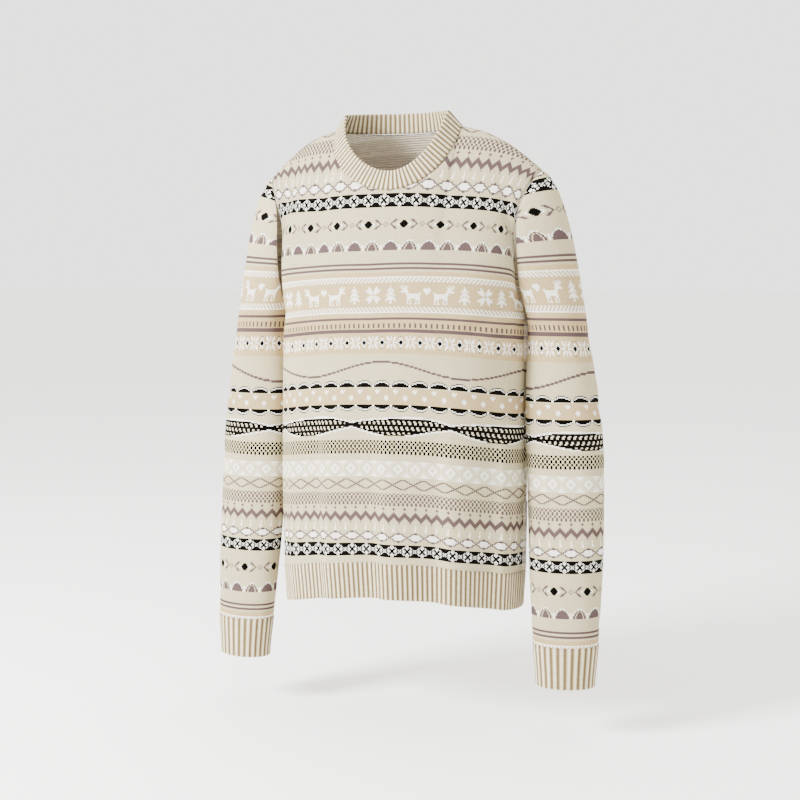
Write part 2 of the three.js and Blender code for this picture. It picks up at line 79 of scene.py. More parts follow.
class Yarn(Enum):
    """The yarns that are knitted together."""

    ECRU = "e"
    SAND = "s"
    WHITE = "w"
    CREAM = "c"
    TAUPE = "t"
    BLACK = "k"


YARN_COLOURS = {
    Yarn.ECRU: "#bfb390",
    Yarn.SAND: "#b8a176",
    Yarn.WHITE: "#f2efe4",
    Yarn.CREAM: "#d6ccb0",
    Yarn.TAUPE: "#574746",
    Yarn.BLACK: "#050403",
}
INSIDE_COLOUR = "#dccfc0"
RIB_TOP_COLOUR = "#cbc0a2"
# painted shade: the darker colour put in the rib grooves where shade falls, not a yarn of its own
RIB_GROOVE_PAINTED_SHADE = "#6b5a3e"


def linear(colour: str) -> tuple[float, float, float, float]:
    """Turns an sRGB colour into a linear one.

    Args:
        colour: seven characters, such as "#e0d9c8".

    Returns:
        Red, green, blue and an alpha of one.
    """
    parts = [int(colour[i : i + 2], 16) / 255 for i in (1, 3, 5)]
    made = [p / 12.92 if p <= 0.04045 else ((p + 0.055) / 1.055) ** 2.4 for p in parts]
    return (made[0], made[1], made[2], 1.0)


def smooth(value: np.ndarray, low: float, high: float) -> np.ndarray:
    """Eases from 0 at low to 1 at high.

    Args:
        value: the numbers to ease.
        low: where the result leaves 0.
        high: where it reaches 1.

    Returns:
        The eased numbers.
    """
    t = np.clip((value - low) / (high - low), 0, 1)
    return t * t * (3 - 2 * t)


def unit(vectors: np.ndarray) -> np.ndarray:
    """Scales vectors to a length of one.

    Args:
        vectors: an array whose last axis is x, y, z.

    Returns:
        The unit vectors.
    """
    length = np.linalg.norm(vectors, axis=-1, keepdims=True)
    return vectors / np.maximum(length, 1e-12)


def points(x: np.ndarray, y: np.ndarray, z: np.ndarray) -> np.ndarray:
    """Puts coordinates together.

    Args:
        x: across.
        y: back.
        z: up.

    Returns:
        An array whose last axis is x, y, z.
    """
    return np.stack(np.broadcast_arrays(x, y, z), axis=-1)


@dataclass(frozen=True)
class BodySection:
    """A level section of the body below the underarm."""

    z: float
    half_width: float
    front: float
    back: float
    seam_y: float


@dataclass(frozen=True)
class ArmSection:
    """A level section of the left sleeve below its cap."""

    z: float
    x: float
    y: float
    half: float
    deep: float


@dataclass(frozen=True)
class Fold:
    """The steep side of a hanging fold: its place across a panel and its depth."""

    at: float
    depth: float


@dataclass(frozen=True)
class Side:
    """The sizes in which the front and the back differ."""

    name: str
    sign: int
    crest: float
    roll_height: float
    roll_round: float
    neck_drop: float
    neck_shift: float
    arch: float
    folds: tuple[Fold, ...]


FRONT = Side(
    "front", -1, -0.092, 0.24, 0.88, 0.087, 0.009, 0.025,
    (Fold(-0.97, 0), Fold(-0.62, 0.0022), Fold(-0.3, 0.0042), Fold(0.02, 0.0046),
     Fold(0.35, 0.0044), Fold(0.7, 0.0032), Fold(0.98, 0)),
)
BACK = Side(
    "back", 1, 0.124, 0.16, 0.75, 0.003, 0, 0.008,
    (Fold(-0.97, 0), Fold(-0.52, 0.0032), Fold(-0.12, 0.0044), Fold(0.24, 0.0036),
     Fold(0.63, 0.003), Fold(0.98, 0)),
)
BODY = (
    BodySection(-0.642, 0.167, -0.080, 0.132, 0.029),
    BodySection(-0.592, 0.170, -0.086, 0.134, 0.029),
    BodySection(-0.480, 0.172, -0.090, 0.130, 0.028),
    BodySection(-0.340, 0.171, -0.092, 0.126, 0.028),
    BodySection(-0.232, 0.172, -0.092, 0.124, 0.028),
)
ARM = (
    ArmSection(-0.730, 0.2330, 0.007, 0.0380, 0.026),
    ArmSection(-0.675, 0.2325, 0.010, 0.0425, 0.029),
    ArmSection(-0.630, 0.2315, 0.014, 0.0455, 0.031),
    ArmSection(-0.570, 0.2300, 0.020, 0.0485, 0.033),
    ArmSection(-0.500, 0.2280, 0.026, 0.0500, 0.034),
    ArmSection(-0.430, 0.2255, 0.030, 0.0510, 0.035),
    ArmSection(-0.365, 0.2215, 0.032, 0.0490, 0.036),
    ArmSection(-0.300, 0.2165, 0.034, 0.0430, 0.037),
    ArmSection(-0.235, 0.2120, 0.035, 0.0370, 0.038),
)


def section_at(table: Sequence, z: np.ndarray) -> dict[str, np.ndarray]:
    """Blends a table's rows smoothly by height.

    Args:
        table: sections in order of z.
        z: the heights.

    Returns:
        Each of the table's columns at those heights.
    """
    heights = np.array([row.z for row in table])
    last = len(table) - 1
    i = np.searchsorted(heights[1:last], z, side="left")
    t = np.clip((z - heights[i]) / (heights[i + 1] - heights[i]), 0, 1)
    made = {}
    for name in vars(table[0]):
        column = np.array([getattr(row, name) for row in table])
        a, b = column[i], column[i + 1]
        slope_a = (b - column[np.maximum(i - 1, 0)]) / 2
        slope_b = (column[np.minimum(i + 2, last)] - a) / 2
        t2, t3 = t * t, t * t * t
        made[name] = (
            (2 * t3 - 3 * t2 + 1) * a + (t3 - 2 * t2 + t) * slope_a
            + (3 * t2 - 2 * t3) * b + (t3 - t2) * slope_b
        )
    return made


@dataclass(frozen=True)
class Cut:
    """The jumper's cut: every surface that its pieces lie on, worked out from its sizes."""

    underarm_z: float = -0.232
    rib_top_z: float = -0.592
    hem_z: float = -0.642
    chest_arch: float = 0.014
    hem_tilt: float = 0.006
    tip_x: float = 0.195
    tip_z: float = -0.055
    shoulder_bow: float = 0.012
    neck_x: float = 0.089
    neck_side_z: float = 0.006
    neck_ridge_rise: float = 0.036
    armhole_y: float = 0.028
    armhole_front: float = 0.046
    armhole_back: float = 0.052
    across_chest_x: float = 0.170
    chest_x: float = 0.172
    section_round: float = 0.88
    most_edge_share: float = 0.75
    roll_ease: float = 0.4
    roll_power: float = 1.5
    fold_top_z: float = -0.27
    fold_full_z: float = -0.54
    fold_steep: float = 0.15
    armhole_back_round: float = 1.2  # over 1 is flatter than an ellipse
    tip_flare_power: float = 2.6  # how soon the armhole leaves the shoulder tip's width
    underarm_flare_power: int = 3
    edge_blend_power: int = 6  # how close to the armhole a section is bent to meet it
    # Directions through the cloth at the armhole and the neck edge, and the way the cap leaves the armhole.
    armhole_out: float = 0.84
    armhole_out_low: float = 0.16
    armhole_out_high: float = 0.31
    armhole_side: float = 0.54
    armhole_up: float = 0.85
    neck_out: float = 0.53
    neck_behind: float = 0.7
    neck_ahead: float = 0.93
    neck_ahead_power: float = 0.6
    neck_up: float = 0.85
    neck_up_behind: float = 0.13
    neck_up_ahead: float = 0.49
    cap_way_out: float = 0.62
    cap_way_out_top: float = 0.24
    cap_way_side: float = 0.16
    cap_way_down: float = 0.66
    cap_way_down_top: float = 0.06
    sleeve_turn: float = math.radians(12)
    cap_end_z: float = -0.3
    cuff_top_z: float = -0.675
    cuff_end_z: float = -0.73
    cap_out: float = 0.17
    cap_down: float = 0.4
    collar_stand: float = math.radians(16)
    collar_back_stand: float = math.radians(41)
    collar_ease: float = 0.35
    neck_middle_z: float = 0.06

    def depth(self, turn: np.ndarray) -> np.ndarray:
        """The share of the full depth that a section has.

        Args:
            turn: the turn along the section, a quarter of one at its edges.

        Returns:
            The share, from 0 to 1.
        """
        return np.maximum(np.cos(turn), 0) ** self.section_round

    def fold_depth(self, folds: Sequence[Fold], s: np.ndarray, z: np.ndarray) -> np.ndarray:
        """How far a panel hangs out of or into its section at its folds.

        Args:
            folds: the panel's folds, from right to left.
            s: places across, from -1 to 1.
            z: heights.

        Returns:
            The distance outwards.
        """
        at = np.array([fold.at for fold in folds])
        deep = np.array([fold.depth for fold in folds])
        i = np.searchsorted(at[1:-1], s, side="left")
        p = np.clip((s - at[i]) / (at[i + 1] - at[i]), 0, 1)
        steep = self.fold_steep
        wave = np.cos(np.pi * (p - steep) / (1 - 2 * steep))
        wave = np.where(p < steep, np.sin(np.pi * p / (2 * steep)), wave)
        wave = np.where(p > 1 - steep, -np.cos(np.pi * (p - 1 + steep) / (2 * steep)), wave)
        ramp = smooth(-z, -self.fold_top_z, -self.fold_full_z)
        return wave * (deep[i] + (deep[i + 1] - deep[i]) * p) * ramp

    def body(self, side: Side, s: np.ndarray, z: np.ndarray) -> np.ndarray:
        """Points of the body below the underarm.

        Args:
            side: the front or the back.
            s: places across, from -1 to 1.
            z: heights at the side seam.

        Returns:
            The points.
        """
        row = section_at(BODY, z)
        share = (z - self.rib_top_z) / (self.underarm_z - self.rib_top_z)
        lift = side.arch + (self.chest_arch - side.arch) * share
        middle = self.depth(s * QUARTER)
        reach = (row["front"] if side is FRONT else row["back"]) - row["seam_y"]
        x = row["half_width"] * np.sin(s * QUARTER)
        y = reach * middle
        tilt = self.hem_tilt * smooth(-z, -self.fold_top_z, -self.hem_z) * x / row["half_width"]
        out_x, out_y = x / row["half_width"] ** 2, y / reach**2
        scale = self.fold_depth(side.folds, s, z) / np.maximum(np.hypot(out_x, out_y), 1e-9)
        return points(x + out_x * scale, row["seam_y"] + y + out_y * scale, z + lift * middle**2 + tilt)

    def armhole(self, a: np.ndarray) -> np.ndarray:
        """The armhole's oval.

        Args:
            a: 0 at the shoulder tip, half a turn at the underarm, front first.

        Returns:
            The points.
        """
        reach = np.where(np.sin(a) > 0, self.armhole_front, self.armhole_back)
        behind = np.maximum(-np.sin(a), 0) ** self.armhole_back_round
        turn = np.where(np.sin(a) > 0, np.sin(a), -behind)
        flare = (self.tip_x - self.across_chest_x) * np.maximum(np.cos(a), 0) ** self.tip_flare_power
        under = (self.chest_x - self.across_chest_x) * np.maximum(-np.cos(a), 0) ** self.underarm_flare_power
        z = (self.tip_z + self.underarm_z) / 2 + (self.tip_z - self.underarm_z) / 2 * np.cos(a)
        return points(self.across_chest_x + flare + under, self.armhole_y - reach * turn, z)

    def armhole_normal(self, a: np.ndarray) -> np.ndarray:
        """The direction through the cloth round the armhole.

        Args:
            a: as for armhole.

        Returns:
            Unit vectors.
        """
        up = np.maximum(np.cos(a), 0) ** 2
        down = np.maximum(-np.cos(a), 0)
        out = self.armhole_out + self.armhole_out_low * down - self.armhole_out_high * up
        return unit(points(out, -self.armhole_side * np.sin(a), self.armhole_up * up))

    def top_edge_z(self, side: Side, x: np.ndarray) -> np.ndarray:
        """The height of a panel's top edge: neck edge in the middle, shoulder seam beside it.

        Args:
            side: the front or the back.
            x: places across.

        Returns:
            The heights.
        """
        across = np.clip(x / self.neck_x, -1, 1)
        pulled = across - side.neck_shift / self.neck_x * (1 - across * across)
        neck = self.neck_side_z - side.neck_drop * np.sqrt(np.maximum(1 - pulled * pulled, 0))
        out = np.clip((np.abs(x) - self.neck_x) / (self.tip_x - self.neck_x), 0, 1)
        slope = self.neck_side_z + (self.tip_z - self.neck_side_z) * out
        seam = slope + self.shoulder_bow * np.sin(out * np.pi)
        return np.where(np.abs(x) < self.neck_x, neck, seam)

    def roll(self, side: Side, x: np.ndarray, z: np.ndarray) -> np.ndarray:
        """How far the body has rounded out from the shoulder line.

        Args:
            side: the front or the back.
            x: places across.
            z: heights.

        Returns:
            From 0 on the shoulder line to 1 at the chest.
        """
        inner = self.neck_side_z + self.neck_ridge_rise * (1 - (x / self.neck_x) ** 2)
        ridge = np.where(np.abs(x) < self.neck_x, inner, self.top_edge_z(FRONT, x))
        height = side.roll_height * (1 - self.roll_ease * (x / self.tip_x) ** 2)
        below = np.clip((ridge - z) / height, 0, 1)
        return (1 - (1 - below) ** self.roll_power) ** side.roll_round

    def yoke(self, side: Side, s: np.ndarray, up: np.ndarray) -> np.ndarray:
        """Points of the body above the underarm.

        Args:
            side: the front or the back.
            s: places across, from -1 to 1.
            up: from 0 at the underarm to 1 at the top edge.

        Returns:
            The points.
        """
        a = np.arccos(np.clip(2 * up - 1, -1, 1))
        edge = self.armhole(-side.sign * a)
        edge_x, edge_y, edge_z = edge[..., 0], edge[..., 1], edge[..., 2]
        across = np.sin(s * QUARTER)
        start_z = self.underarm_z + self.chest_arch * self.depth(s * QUARTER) ** 2
        z = start_z + (self.top_edge_z(side, self.tip_x * across) - start_z) * up
        eased = smooth(up, 0, 1)

        def base(x: np.ndarray) -> np.ndarray:
            """The line from which the body's depth counts."""
            shoulder = self.armhole_y * np.minimum(np.abs(x) / self.tip_x, 1) ** 2
            return self.armhole_y + (shoulder - self.armhole_y) * eased

        edge_reach = (side.crest - base(edge_x)) * self.roll(side, edge_x, edge_z)
        edge_rise = edge_y - base(edge_x)
        share = np.where(
            np.abs(edge_reach) < 1e-9,
            self.most_edge_share,
            edge_rise / np.where(np.abs(edge_reach) < 1e-9, 1, edge_reach),
        )
        share = np.clip(share, 0, self.most_edge_share)
        turn = np.arccos(share ** (1 / self.section_round))
        miss = edge_rise - edge_reach * self.depth(turn)
        outer = smooth(np.abs(across) * self.tip_x, self.neck_x, self.tip_x)
        inner_x = self.chest_x + (self.tip_x - self.chest_x) * up
        x = across * (inner_x + (edge_x - inner_x) * outer)
        deep = self.depth(np.arcsin(np.clip(across * np.sin(turn), -1, 1)))
        rise = (side.crest - base(x)) * self.roll(side, x, z) * deep
        y = base(x) + rise + miss * across**self.edge_blend_power
        return points(x, y, z)

    def panel(self, side: Side, s: np.ndarray, v: np.ndarray) -> np.ndarray:
        """Points of a whole panel.

        Args:
            side: the front or the back.
            s: places across, from -1 to 1.
            v: 0 at the hem rib, 1 at the underarm, 2 at the top edge.

        Returns:
            The points.
        """
        s, v = np.broadcast_arrays(s, v)
        low = np.minimum(v, 1)
        body = self.body(side, s, self.rib_top_z + (self.underarm_z - self.rib_top_z) * low)
        yoke = self.yoke(side, s, np.maximum(v - 1, 0))
        return np.where((v <= 1)[..., None], body, yoke)

    def arm(self, a: np.ndarray, z: np.ndarray) -> np.ndarray:
        """Points of the left sleeve's level sections.

        Args:
            a: as for armhole.
            z: heights.

        Returns:
            The points.
        """
        row = section_at(ARM, z)
        out, forward = row["half"] * np.cos(a), row["deep"] * np.sin(a)
        cos, sin = math.cos(self.sleeve_turn), math.sin(self.sleeve_turn)
        return points(row["x"] + out * cos + forward * sin, row["y"] + out * sin - forward * cos, z)

    def sleeve(self, a: np.ndarray, v: np.ndarray) -> np.ndarray:
        """Points of the left sleeve.

        Args:
            a: as for armhole.
            v: 0 at the armhole, 1 under the cap, 2 at the cuff.

        Returns:
            The points.
        """
        a, v = np.broadcast_arrays(a, v)
        start = self.armhole(a)
        end = self.arm(a, np.full(a.shape, self.cap_end_z))
        way_out = self.cap_way_out + self.cap_way_out_top * np.cos(a)
        way_down = -self.cap_way_down + self.cap_way_down_top * np.cos(a)
        leave = unit(points(way_out, -self.cap_way_side * np.sin(a), way_down))
        below = unit(self.arm(a, np.full(a.shape, self.cap_end_z - 0.001)) - end)
        reach = np.linalg.norm(end - start, axis=-1, keepdims=True)
        first = start + leave * reach * self.cap_out
        second = end - below * reach * self.cap_down
        t = np.minimum(v, 1)[..., None]
        cap = (1 - t) ** 3 * start + 3 * (1 - t) ** 2 * t * first + 3 * (1 - t) * t**2 * second + t**3 * end
        lower = self.arm(a, self.cap_end_z + (self.cuff_top_z - self.cap_end_z) * np.maximum(v - 1, 0))
        return np.where((v > 1)[..., None], lower, cap)

    def neck_edge(self, w: np.ndarray) -> np.ndarray:
        """The neck edge as one loop.

        Args:
            w: 0 at the left neck point, front first.

        Returns:
            The points.
        """
        s = np.arcsin(np.cos(w) * self.neck_x / self.tip_x) / QUARTER
        front = self.yoke(FRONT, s, np.ones_like(s))
        back = self.yoke(BACK, s, np.ones_like(s))
        return np.where((np.sin(w) >= 0)[..., None], front, back)

    def neck_normal(self, w: np.ndarray) -> np.ndarray:
        """The direction through the cloth round the neck edge.

        Args:
            w: as for neck_edge.

        Returns:
            Unit vectors.
        """
        turn = np.sin(w)
        ahead = np.maximum(turn, 0)
        behind = np.maximum(-turn, 0)
        y = np.where(turn < 0, self.neck_behind * behind, -self.neck_ahead * ahead**self.neck_ahead_power)
        up_behind = self.neck_up - self.neck_up_behind * behind**2
        z = np.where(turn < 0, up_behind, self.neck_up - self.neck_up_ahead * ahead)
        return unit(points(self.neck_out * np.cos(w), y, z))

    def neck_away(self, w: np.ndarray, span: float) -> np.ndarray:
        """The direction in the cloth from the neck edge to the middle of the neck.

        Args:
            w: as for neck_edge.
            span: the part of a turn over which it is evened.

        Returns:
            Unit vectors.
        """
        along = self.neck_edge(w + span) - self.neck_edge(w - span)
        away = unit(np.cross(along, self.neck_normal(w)))
        towards = np.array([0, 0, self.neck_middle_z]) - self.neck_edge(w)
        turned = np.sign(np.sum(away * towards, axis=-1, keepdims=True))
        return away * turned

    def collar(self, w: np.ndarray, height: np.ndarray) -> np.ndarray:
        """Points of the collar.

        Args:
            w: as for neck_edge.
            height: the distance from the seam.

        Returns:
            The points.
        """
        w, height = np.broadcast_arrays(w, height)
        turn = np.sin(w)
        middle = np.where(turn > 0, 0, self.collar_back_stand)
        stand = self.collar_stand + (middle - self.collar_stand) * turn * turn
        rise = self.neck_away(w, self.collar_ease) * np.cos(stand)[..., None]
        rise = rise + self.neck_normal(w) * np.sin(stand)[..., None]
        return self.neck_edge(w) + rise * height[..., None]


CUT = Cut()


@dataclass(frozen=True)
class Crease:
    """A soft trough in the cloth, or a ridge where its depth is negative.

    It runs from one place to another on a piece, in metres along the courses and up from the rib.
    """

    start: tuple[float, float]
    end: tuple[float, float]
    width: float
    depth: float

    def press(self, u: np.ndarray, v: np.ndarray) -> np.ndarray:
        """How far the crease presses the cloth in.

        Args:
            u: distances along the courses.
            v: distances up from the rib.

        Returns:
            The distances inwards.
        """
        along = np.array(self.end) - np.array(self.start)
        length = float(np.hypot(*along))
        t = ((u - self.start[0]) * along[0] + (v - self.start[1]) * along[1]) / length**2
        off = ((u - self.start[0]) * along[1] - (v - self.start[1]) * along[0]) / length
        low, high = CREASE_FADE
        ends = smooth(t, low, high) * (1 - smooth(t, 1 - high, 1 - low))
        return self.depth * ends * np.exp(-((off / self.width) ** 2))


def art(*rows: str) -> np.ndarray:
    """Reads a small chart.

    Args:
        rows: the chart's rows, top first, one letter for each stitch and a dot for the ground.

    Returns:
        The letters, bottom row first.
    """
    return np.array([list(row) for row in reversed(rows)])


@dataclass(frozen=True)
class Band:
    """A band of the colourwork: where it starts, and its letters for a row and places across."""

    start: int
    height: int
    stitches: Callable[[int, np.ndarray], np.ndarray]


def repeated(start: int, chart: np.ndarray, shift: int = 0) -> Band:
    """A band that repeats a chart side by side.

    Args:
        start: its first row.
        chart: from art.
        shift: how many stitches it is moved.

    Returns:
        The band.
    """
    return Band(start, len(chart), lambda row, column: chart[row][(column + shift) % chart.shape[1]])


def letters(column: np.ndarray, **masks: np.ndarray) -> np.ndarray:
    """Paints letters where masks are true, later ones over earlier ones.

    Args:
        column: the places across.
        masks: a mask for each letter.

    Returns:
        The letters.
    """
    made = np.full(column.shape, ".")
    for letter, mask in masks.items():
        made[mask] = letter
    return made


def stripe(start: int, height: int, letter: str) -> Band:
    """A plain stripe.

    Args:
        start: its first row.
        height: its rows.
        letter: its yarn.

    Returns:
        The band.
    """
    return Band(start, height, lambda row, column: np.full(column.shape, letter))


def flower_lattice(row: int, column: np.ndarray) -> np.ndarray:
    """Black band with a white lattice, and a flower of four petals in each of its diamonds.

    Args:
        row: the row within the band.
        column: the places across.

    Returns:
        The row's letters.
    """
    x, y = np.abs((column + 3) % 14 - 7), abs(row - 5)
    line = x == (7, 6, 4, 3, 1, 0)[y]
    petal = (np.abs(x - 3) + y < 2) | (x == 0) & (abs(y - 2.5) < 1) | (x == 1) & (y == 3)
    return letters(column, k=x >= 0, w=line | petal)


def lenses(row: int, column: np.ndarray) -> np.ndarray:
    """Two crossing thin taupe waves with white lenses between them.

    Args:
        row: the row within the band.
        column: the places across.

    Returns:
        The row's letters.
    """
    wave = 3.6 * np.abs(np.sin(np.pi * column / 16)) ** 1.3
    off = np.abs(row - 4)
    return letters(column, w=off < wave, t=np.abs(off - wave) < 0.72)


def crossed_waves(row: int, column: np.ndarray) -> np.ndarray:
    """Two crossing thin taupe waves.

    Args:
        row: the row within the band.
        column: the places across.

    Returns:
        The row's letters.
    """
    wave = 3.9 * np.abs(np.sin(np.pi * column / 19)) ** 1.3
    return letters(column, t=np.abs(np.abs(row - 4) - wave) < 0.72)


def long_wave(row: int, column: np.ndarray) -> np.ndarray:
    """A single thin wave with a long period.

    Args:
        row: the row within the band.
        column: the places across.

    Returns:
        The row's letters.
    """
    wave = 6.5 + 6 * np.cos(2 * np.pi * (column - 8) / 148)
    return letters(column, t=np.abs(row - wave) < 0.9)


def checks(letter: str) -> Callable[[int, np.ndarray], np.ndarray]:
    """Staggered small blocks.

    Args:
        letter: the yarn of the blocks.

    Returns:
        The band's stitches.
    """

    def stitches(row: int, column: np.ndarray) -> np.ndarray:
        """Paints one row."""
        step = row * 2 // 5
        wide = (column % 4 < 2) if step % 2 == 0 else (column % 4 >= 2)
        return letters(column, **{letter: wide})

    return stitches


def zigzag(row: int, column: np.ndarray) -> np.ndarray:
    """A thick taupe zigzag.

    Args:
        row: the row within the band.
        column: the places across.

    Returns:
        The row's letters.
    """
    low = 1.1 * np.abs((column % 10) - 5)
    return letters(column, t=(row >= low) & (row < low + 5.4))


def wavy_check(row: int, column: np.ndarray) -> np.ndarray:
    """A black wavy band with rows of slanted white holes and a white edge.

    Args:
        row: the row within the band.
        column: the places across.

    Returns:
        The row's letters.
    """
    swell = np.abs(np.cos(np.pi * (column - 25) / 96)) ** 0.9
    half = 1.4 + 6.1 * swell
    off = np.abs(row - 8 + 1.2 * np.cos(2 * np.pi * (column - 15) / 96))
    hole = ((column + row // 2) % 5 < 2) & (row % 5 < 3) & (off < half - 1.2) & (half > 3)
    return letters(column, w=off < half + 1.3, k=off < half, c=hole)


def rope(flip: bool) -> Callable[[int, np.ndarray], np.ndarray]:
    """A white line with slanting strokes beside it.

    Args:
        flip: whether the line is below the strokes.

    Returns:
        The band's stitches.
    """

    def stitches(row: int, column: np.ndarray) -> np.ndarray:
        """Paints one row."""
        place = row if flip else 4 - row
        if place == 0:
            return np.full(column.shape, "w")
        return letters(column, w=(column + place) % 4 < 2)

    return stitches


def mounds(row: int, column: np.ndarray) -> np.ndarray:
    """Taupe mounds with a white rim, every second one an arch over a peak.

    Args:
        row: the row within the band.
        column: the places across.

    Returns:
        The row's letters.
    """
    x = np.abs((column + 11) % 17 - 8)
    arch = (column + 11) // 17 % 2 == 0
    half = (6.4, 6.4, 6.2, 5.4, 5.2, 4.2, 3.2, 1.4, -1)[row]
    inner = (4.4, 4.4, 4.0, 3.4, 3.0, 2.2, 0.6, -9, -9)[row]
    rim = (x < half + 1.1) & (row > 2) | (x < 2.5) & (row == 8)
    tick = (x > 7.4) & (row < 5)
    return letters(
        column,
        w=rim | tick,
        t=x < half,
        e=arch & (np.abs(x - inner) < 0.5),
    )


def arrows(row: int, column: np.ndarray) -> np.ndarray:
    """Black diamonds between taupe chevrons, with small rings between the pairs.

    Args:
        row: the row within the band.
        column: the places across.

    Returns:
        The row's letters.
    """
    x = np.abs((column + 24) % 32 - 16)
    y = abs(row - 5)
    apex = 11.5 - 1.2 * y
    ring = np.hypot(16 - x, y)
    return letters(
        column,
        w=(x + y < 6.2) & (y < 2),
        t=(y < 5) & (x > 3) & (np.abs(x - apex) < 1.3) | (np.abs(ring - 1.6) < 0.6) & (x > 12.5),
        k=(x + y < 4.8) & (y < 4),
    )


def flower_row(row: int, column: np.ndarray) -> np.ndarray:
    """White flowers with eight petals between small black diamonds with a dot above and below.

    Args:
        row: the row within the band.
        column: the places across.

    Returns:
        The row's letters.
    """
    x, y = np.abs((column + 9) % 18 - 9), abs(row - 6)
    long_petal = (x < 1) & (y > 1) & (y < 6) | (y < 1) & (x > 1) & (x < 6)
    slant_petal = (np.abs(x - y) < 1.2) & (x > 1) & (x < 5)
    edge = 9 - x
    dot = (edge < 1) & (y > 4) & (y < 6)
    return letters(
        column,
        w=long_petal | slant_petal | (edge / 3.6 + y / 4.2 < 1),
        k=(edge + y < 2.6) | dot,
    )


def pale_lattice(row: int, column: np.ndarray) -> np.ndarray:
    """Cream diamonds and small flowers, hardly lighter than their ground.

    Args:
        row: the row within the band.
        column: the places across.

    Returns:
        The row's letters.
    """
    x, y = np.abs(column % 16 - 8), abs(row - 6.5)
    ring = x + y
    return letters(
        column,
        c=ring >= 0,
        w=(np.abs(ring - 3.5) < 1.1) | (ring > 11),
        e=(np.abs(ring - 6.5) < 0.6) | (ring < 1.5),
    )


STAR = art(
    "...w.......w...",
    "...ww.....ww...",
    "...www...www...",
    "wwwwww...wwwwww",
    ".wwwwww.wwwwww.",
    "..wwwww.wwwww..",
    "....www.www....",
    "...............",
    "....www.www....",
    "..wwwww.wwwww..",
    ".wwwwww.wwwwww.",
    "wwwwww...wwwwww",
    "...www...www...",
    "...ww.....ww...",
    "...w.......w...",
)
FIR = art(
    ".....w.....",
    ".....w.....",
    "....www....",
    "...wwwww...",
    "..ww.w.ww..",
    "....www....",
    "...wwwww...",
    "..wwwwwww..",
    ".ww..w..ww.",
    "...wwwww...",
    "..wwwwwww..",
    ".wwwwwwwww.",
    "ww..www..ww",
    ".....w.....",
    "....www....",
)
DEER = art(
    "w.w.w..............",
    "w.w.w.w............",
    ".wwwww.............",
    "...www.............",
    ".wwwwww............",
    "wwwwwww............",
    ".....www.........ww",
    ".....wwwwwwwwwwwww.",
    "......wwwwwwwwwwww.",
    "......wwwwwwwwwwww.",
    "......wwwwwwwwwwww.",
    "......www.....wwww.",
    "......ww.w....w.ww.",
    "......w..w....w..w.",
    "......w..w....w..w.",
    "......w.ww...ww.ww.",
)
HEART = art(
    ".ww.ww.",
    "wwwwwww",
    "wwwwwww",
    ".wwwww.",
    "..www..",
    "...w...",
)
MOTIF_ROWS = 17
# The figures of the wide sand band, each with its first stitch and its first row.
FIGURES = ((STAR, 2, 1), (FIR, 21, 1), (DEER, 36, 0), (HEART, 57, 8), (DEER[:, ::-1], 66, 0), (FIR, 89, 1))
FIGURE_PERIOD = 104


def motif_row(row: int, column: np.ndarray) -> np.ndarray:
    """White stars, firs and pairs of deer on sand.

    Args:
        row: the row within the band.
        column: the places across.

    Returns:
        The row's letters.
    """
    place = (column + 9) % FIGURE_PERIOD
    made = np.full(column.shape, ".")
    for figure, start, low in FIGURES:
        high, wide = figure.shape
        inside = (place >= start) & (place < start + wide) & (low <= row < low + high)
        if inside.any():
            made[inside] = figure[row - low][place[inside] - start]
    return made


BUDS = art(
    "...ww.w...........",
    "..wwwww...........",
    "...www............",
    "....w.............",
    "..................",
    "............w.w...",
    "............www...",
    "...........wwwww..",
    "............www...",
    ".............w....",
    "..................",
)
SCALLOPS = art(
    "......kkkkkkk.....",
    "...kkkwwwwwwwkk...",
    "..kwwwkkkkkkkwwk..",
    ".kwkkkkkkkkkkkkwk.",
    "wkkkkkkkkkkkkkkkkw",
    "wkkkkkkkkkkkkkkkkw",
)
SMALL_DIAMONDS = art("....t.....", "...ttt....", "....t.....")
TICKS = art("c.........", *["w........."] * 3, *["w........w"] * 2, "c.........")
PEGS = art(*["tt..."] * 4)

BANDS = (
    Band(5, 11, flower_lattice),
    Band(18, 9, lenses),
    repeated(27, TICKS, 0),
    Band(34, 11, zigzag),
    repeated(46, SMALL_DIAMONDS, 4),
    Band(50, 11, checks("t")),
    Band(64, 9, crossed_waves),
    Band(75, 14, pale_lattice),
    Band(95, 12, checks("k")),
    Band(111, 17, wavy_check),
    repeated(132, SCALLOPS[::-1], 0),
    repeated(140, BUDS, 0),
    repeated(153, SCALLOPS, 0),
    Band(162, 14, long_wave),
    Band(185, 12, flower_row),
    stripe(200, 3, "t"),
    repeated(204, PEGS, 0),
    stripe(211, 2, "t"),
    Band(217, 5, rope(True)),
    Band(224, MOTIF_ROWS, motif_row),
    Band(243, 5, rope(False)),
    stripe(254, 2, "t"),
    stripe(258, 2, "t"),
    Band(271, 9, mounds),
    Band(289, 11, arrows),
)
# The rows whose ground is sand in place of ecru.
SAND_ROWS = ((138, 152), (182, 252))


def knit(columns: np.ndarray) -> np.ndarray:
    """Works out one repeat of the colourwork.

    Args:
        columns: the places across, 0 in the middle.

    Returns:
        A letter for each row and column.
    """
    chart = np.full((REPEAT_ROWS, len(columns)), "e")
    for low, high in SAND_ROWS:
        chart[low:high] = "s"
    for band in BANDS:
        for row in range(band.height):
            found = band.stitches(row, columns)
            chart[band.start + row] = np.where(found == ".", chart[band.start + row], found)
    return chart


def coloured(chart: np.ndarray) -> np.ndarray:
    """Turns letters into linear colours.

    Args:
        chart: the letters.

    Returns:
        An array with a last axis of red, green, blue and alpha.
    """
    made = np.zeros(chart.shape + (4,), dtype=np.float32)
    for yarn, colour in YARN_COLOURS.items():
        made[chart == yarn.value] = linear(colour)
    return made


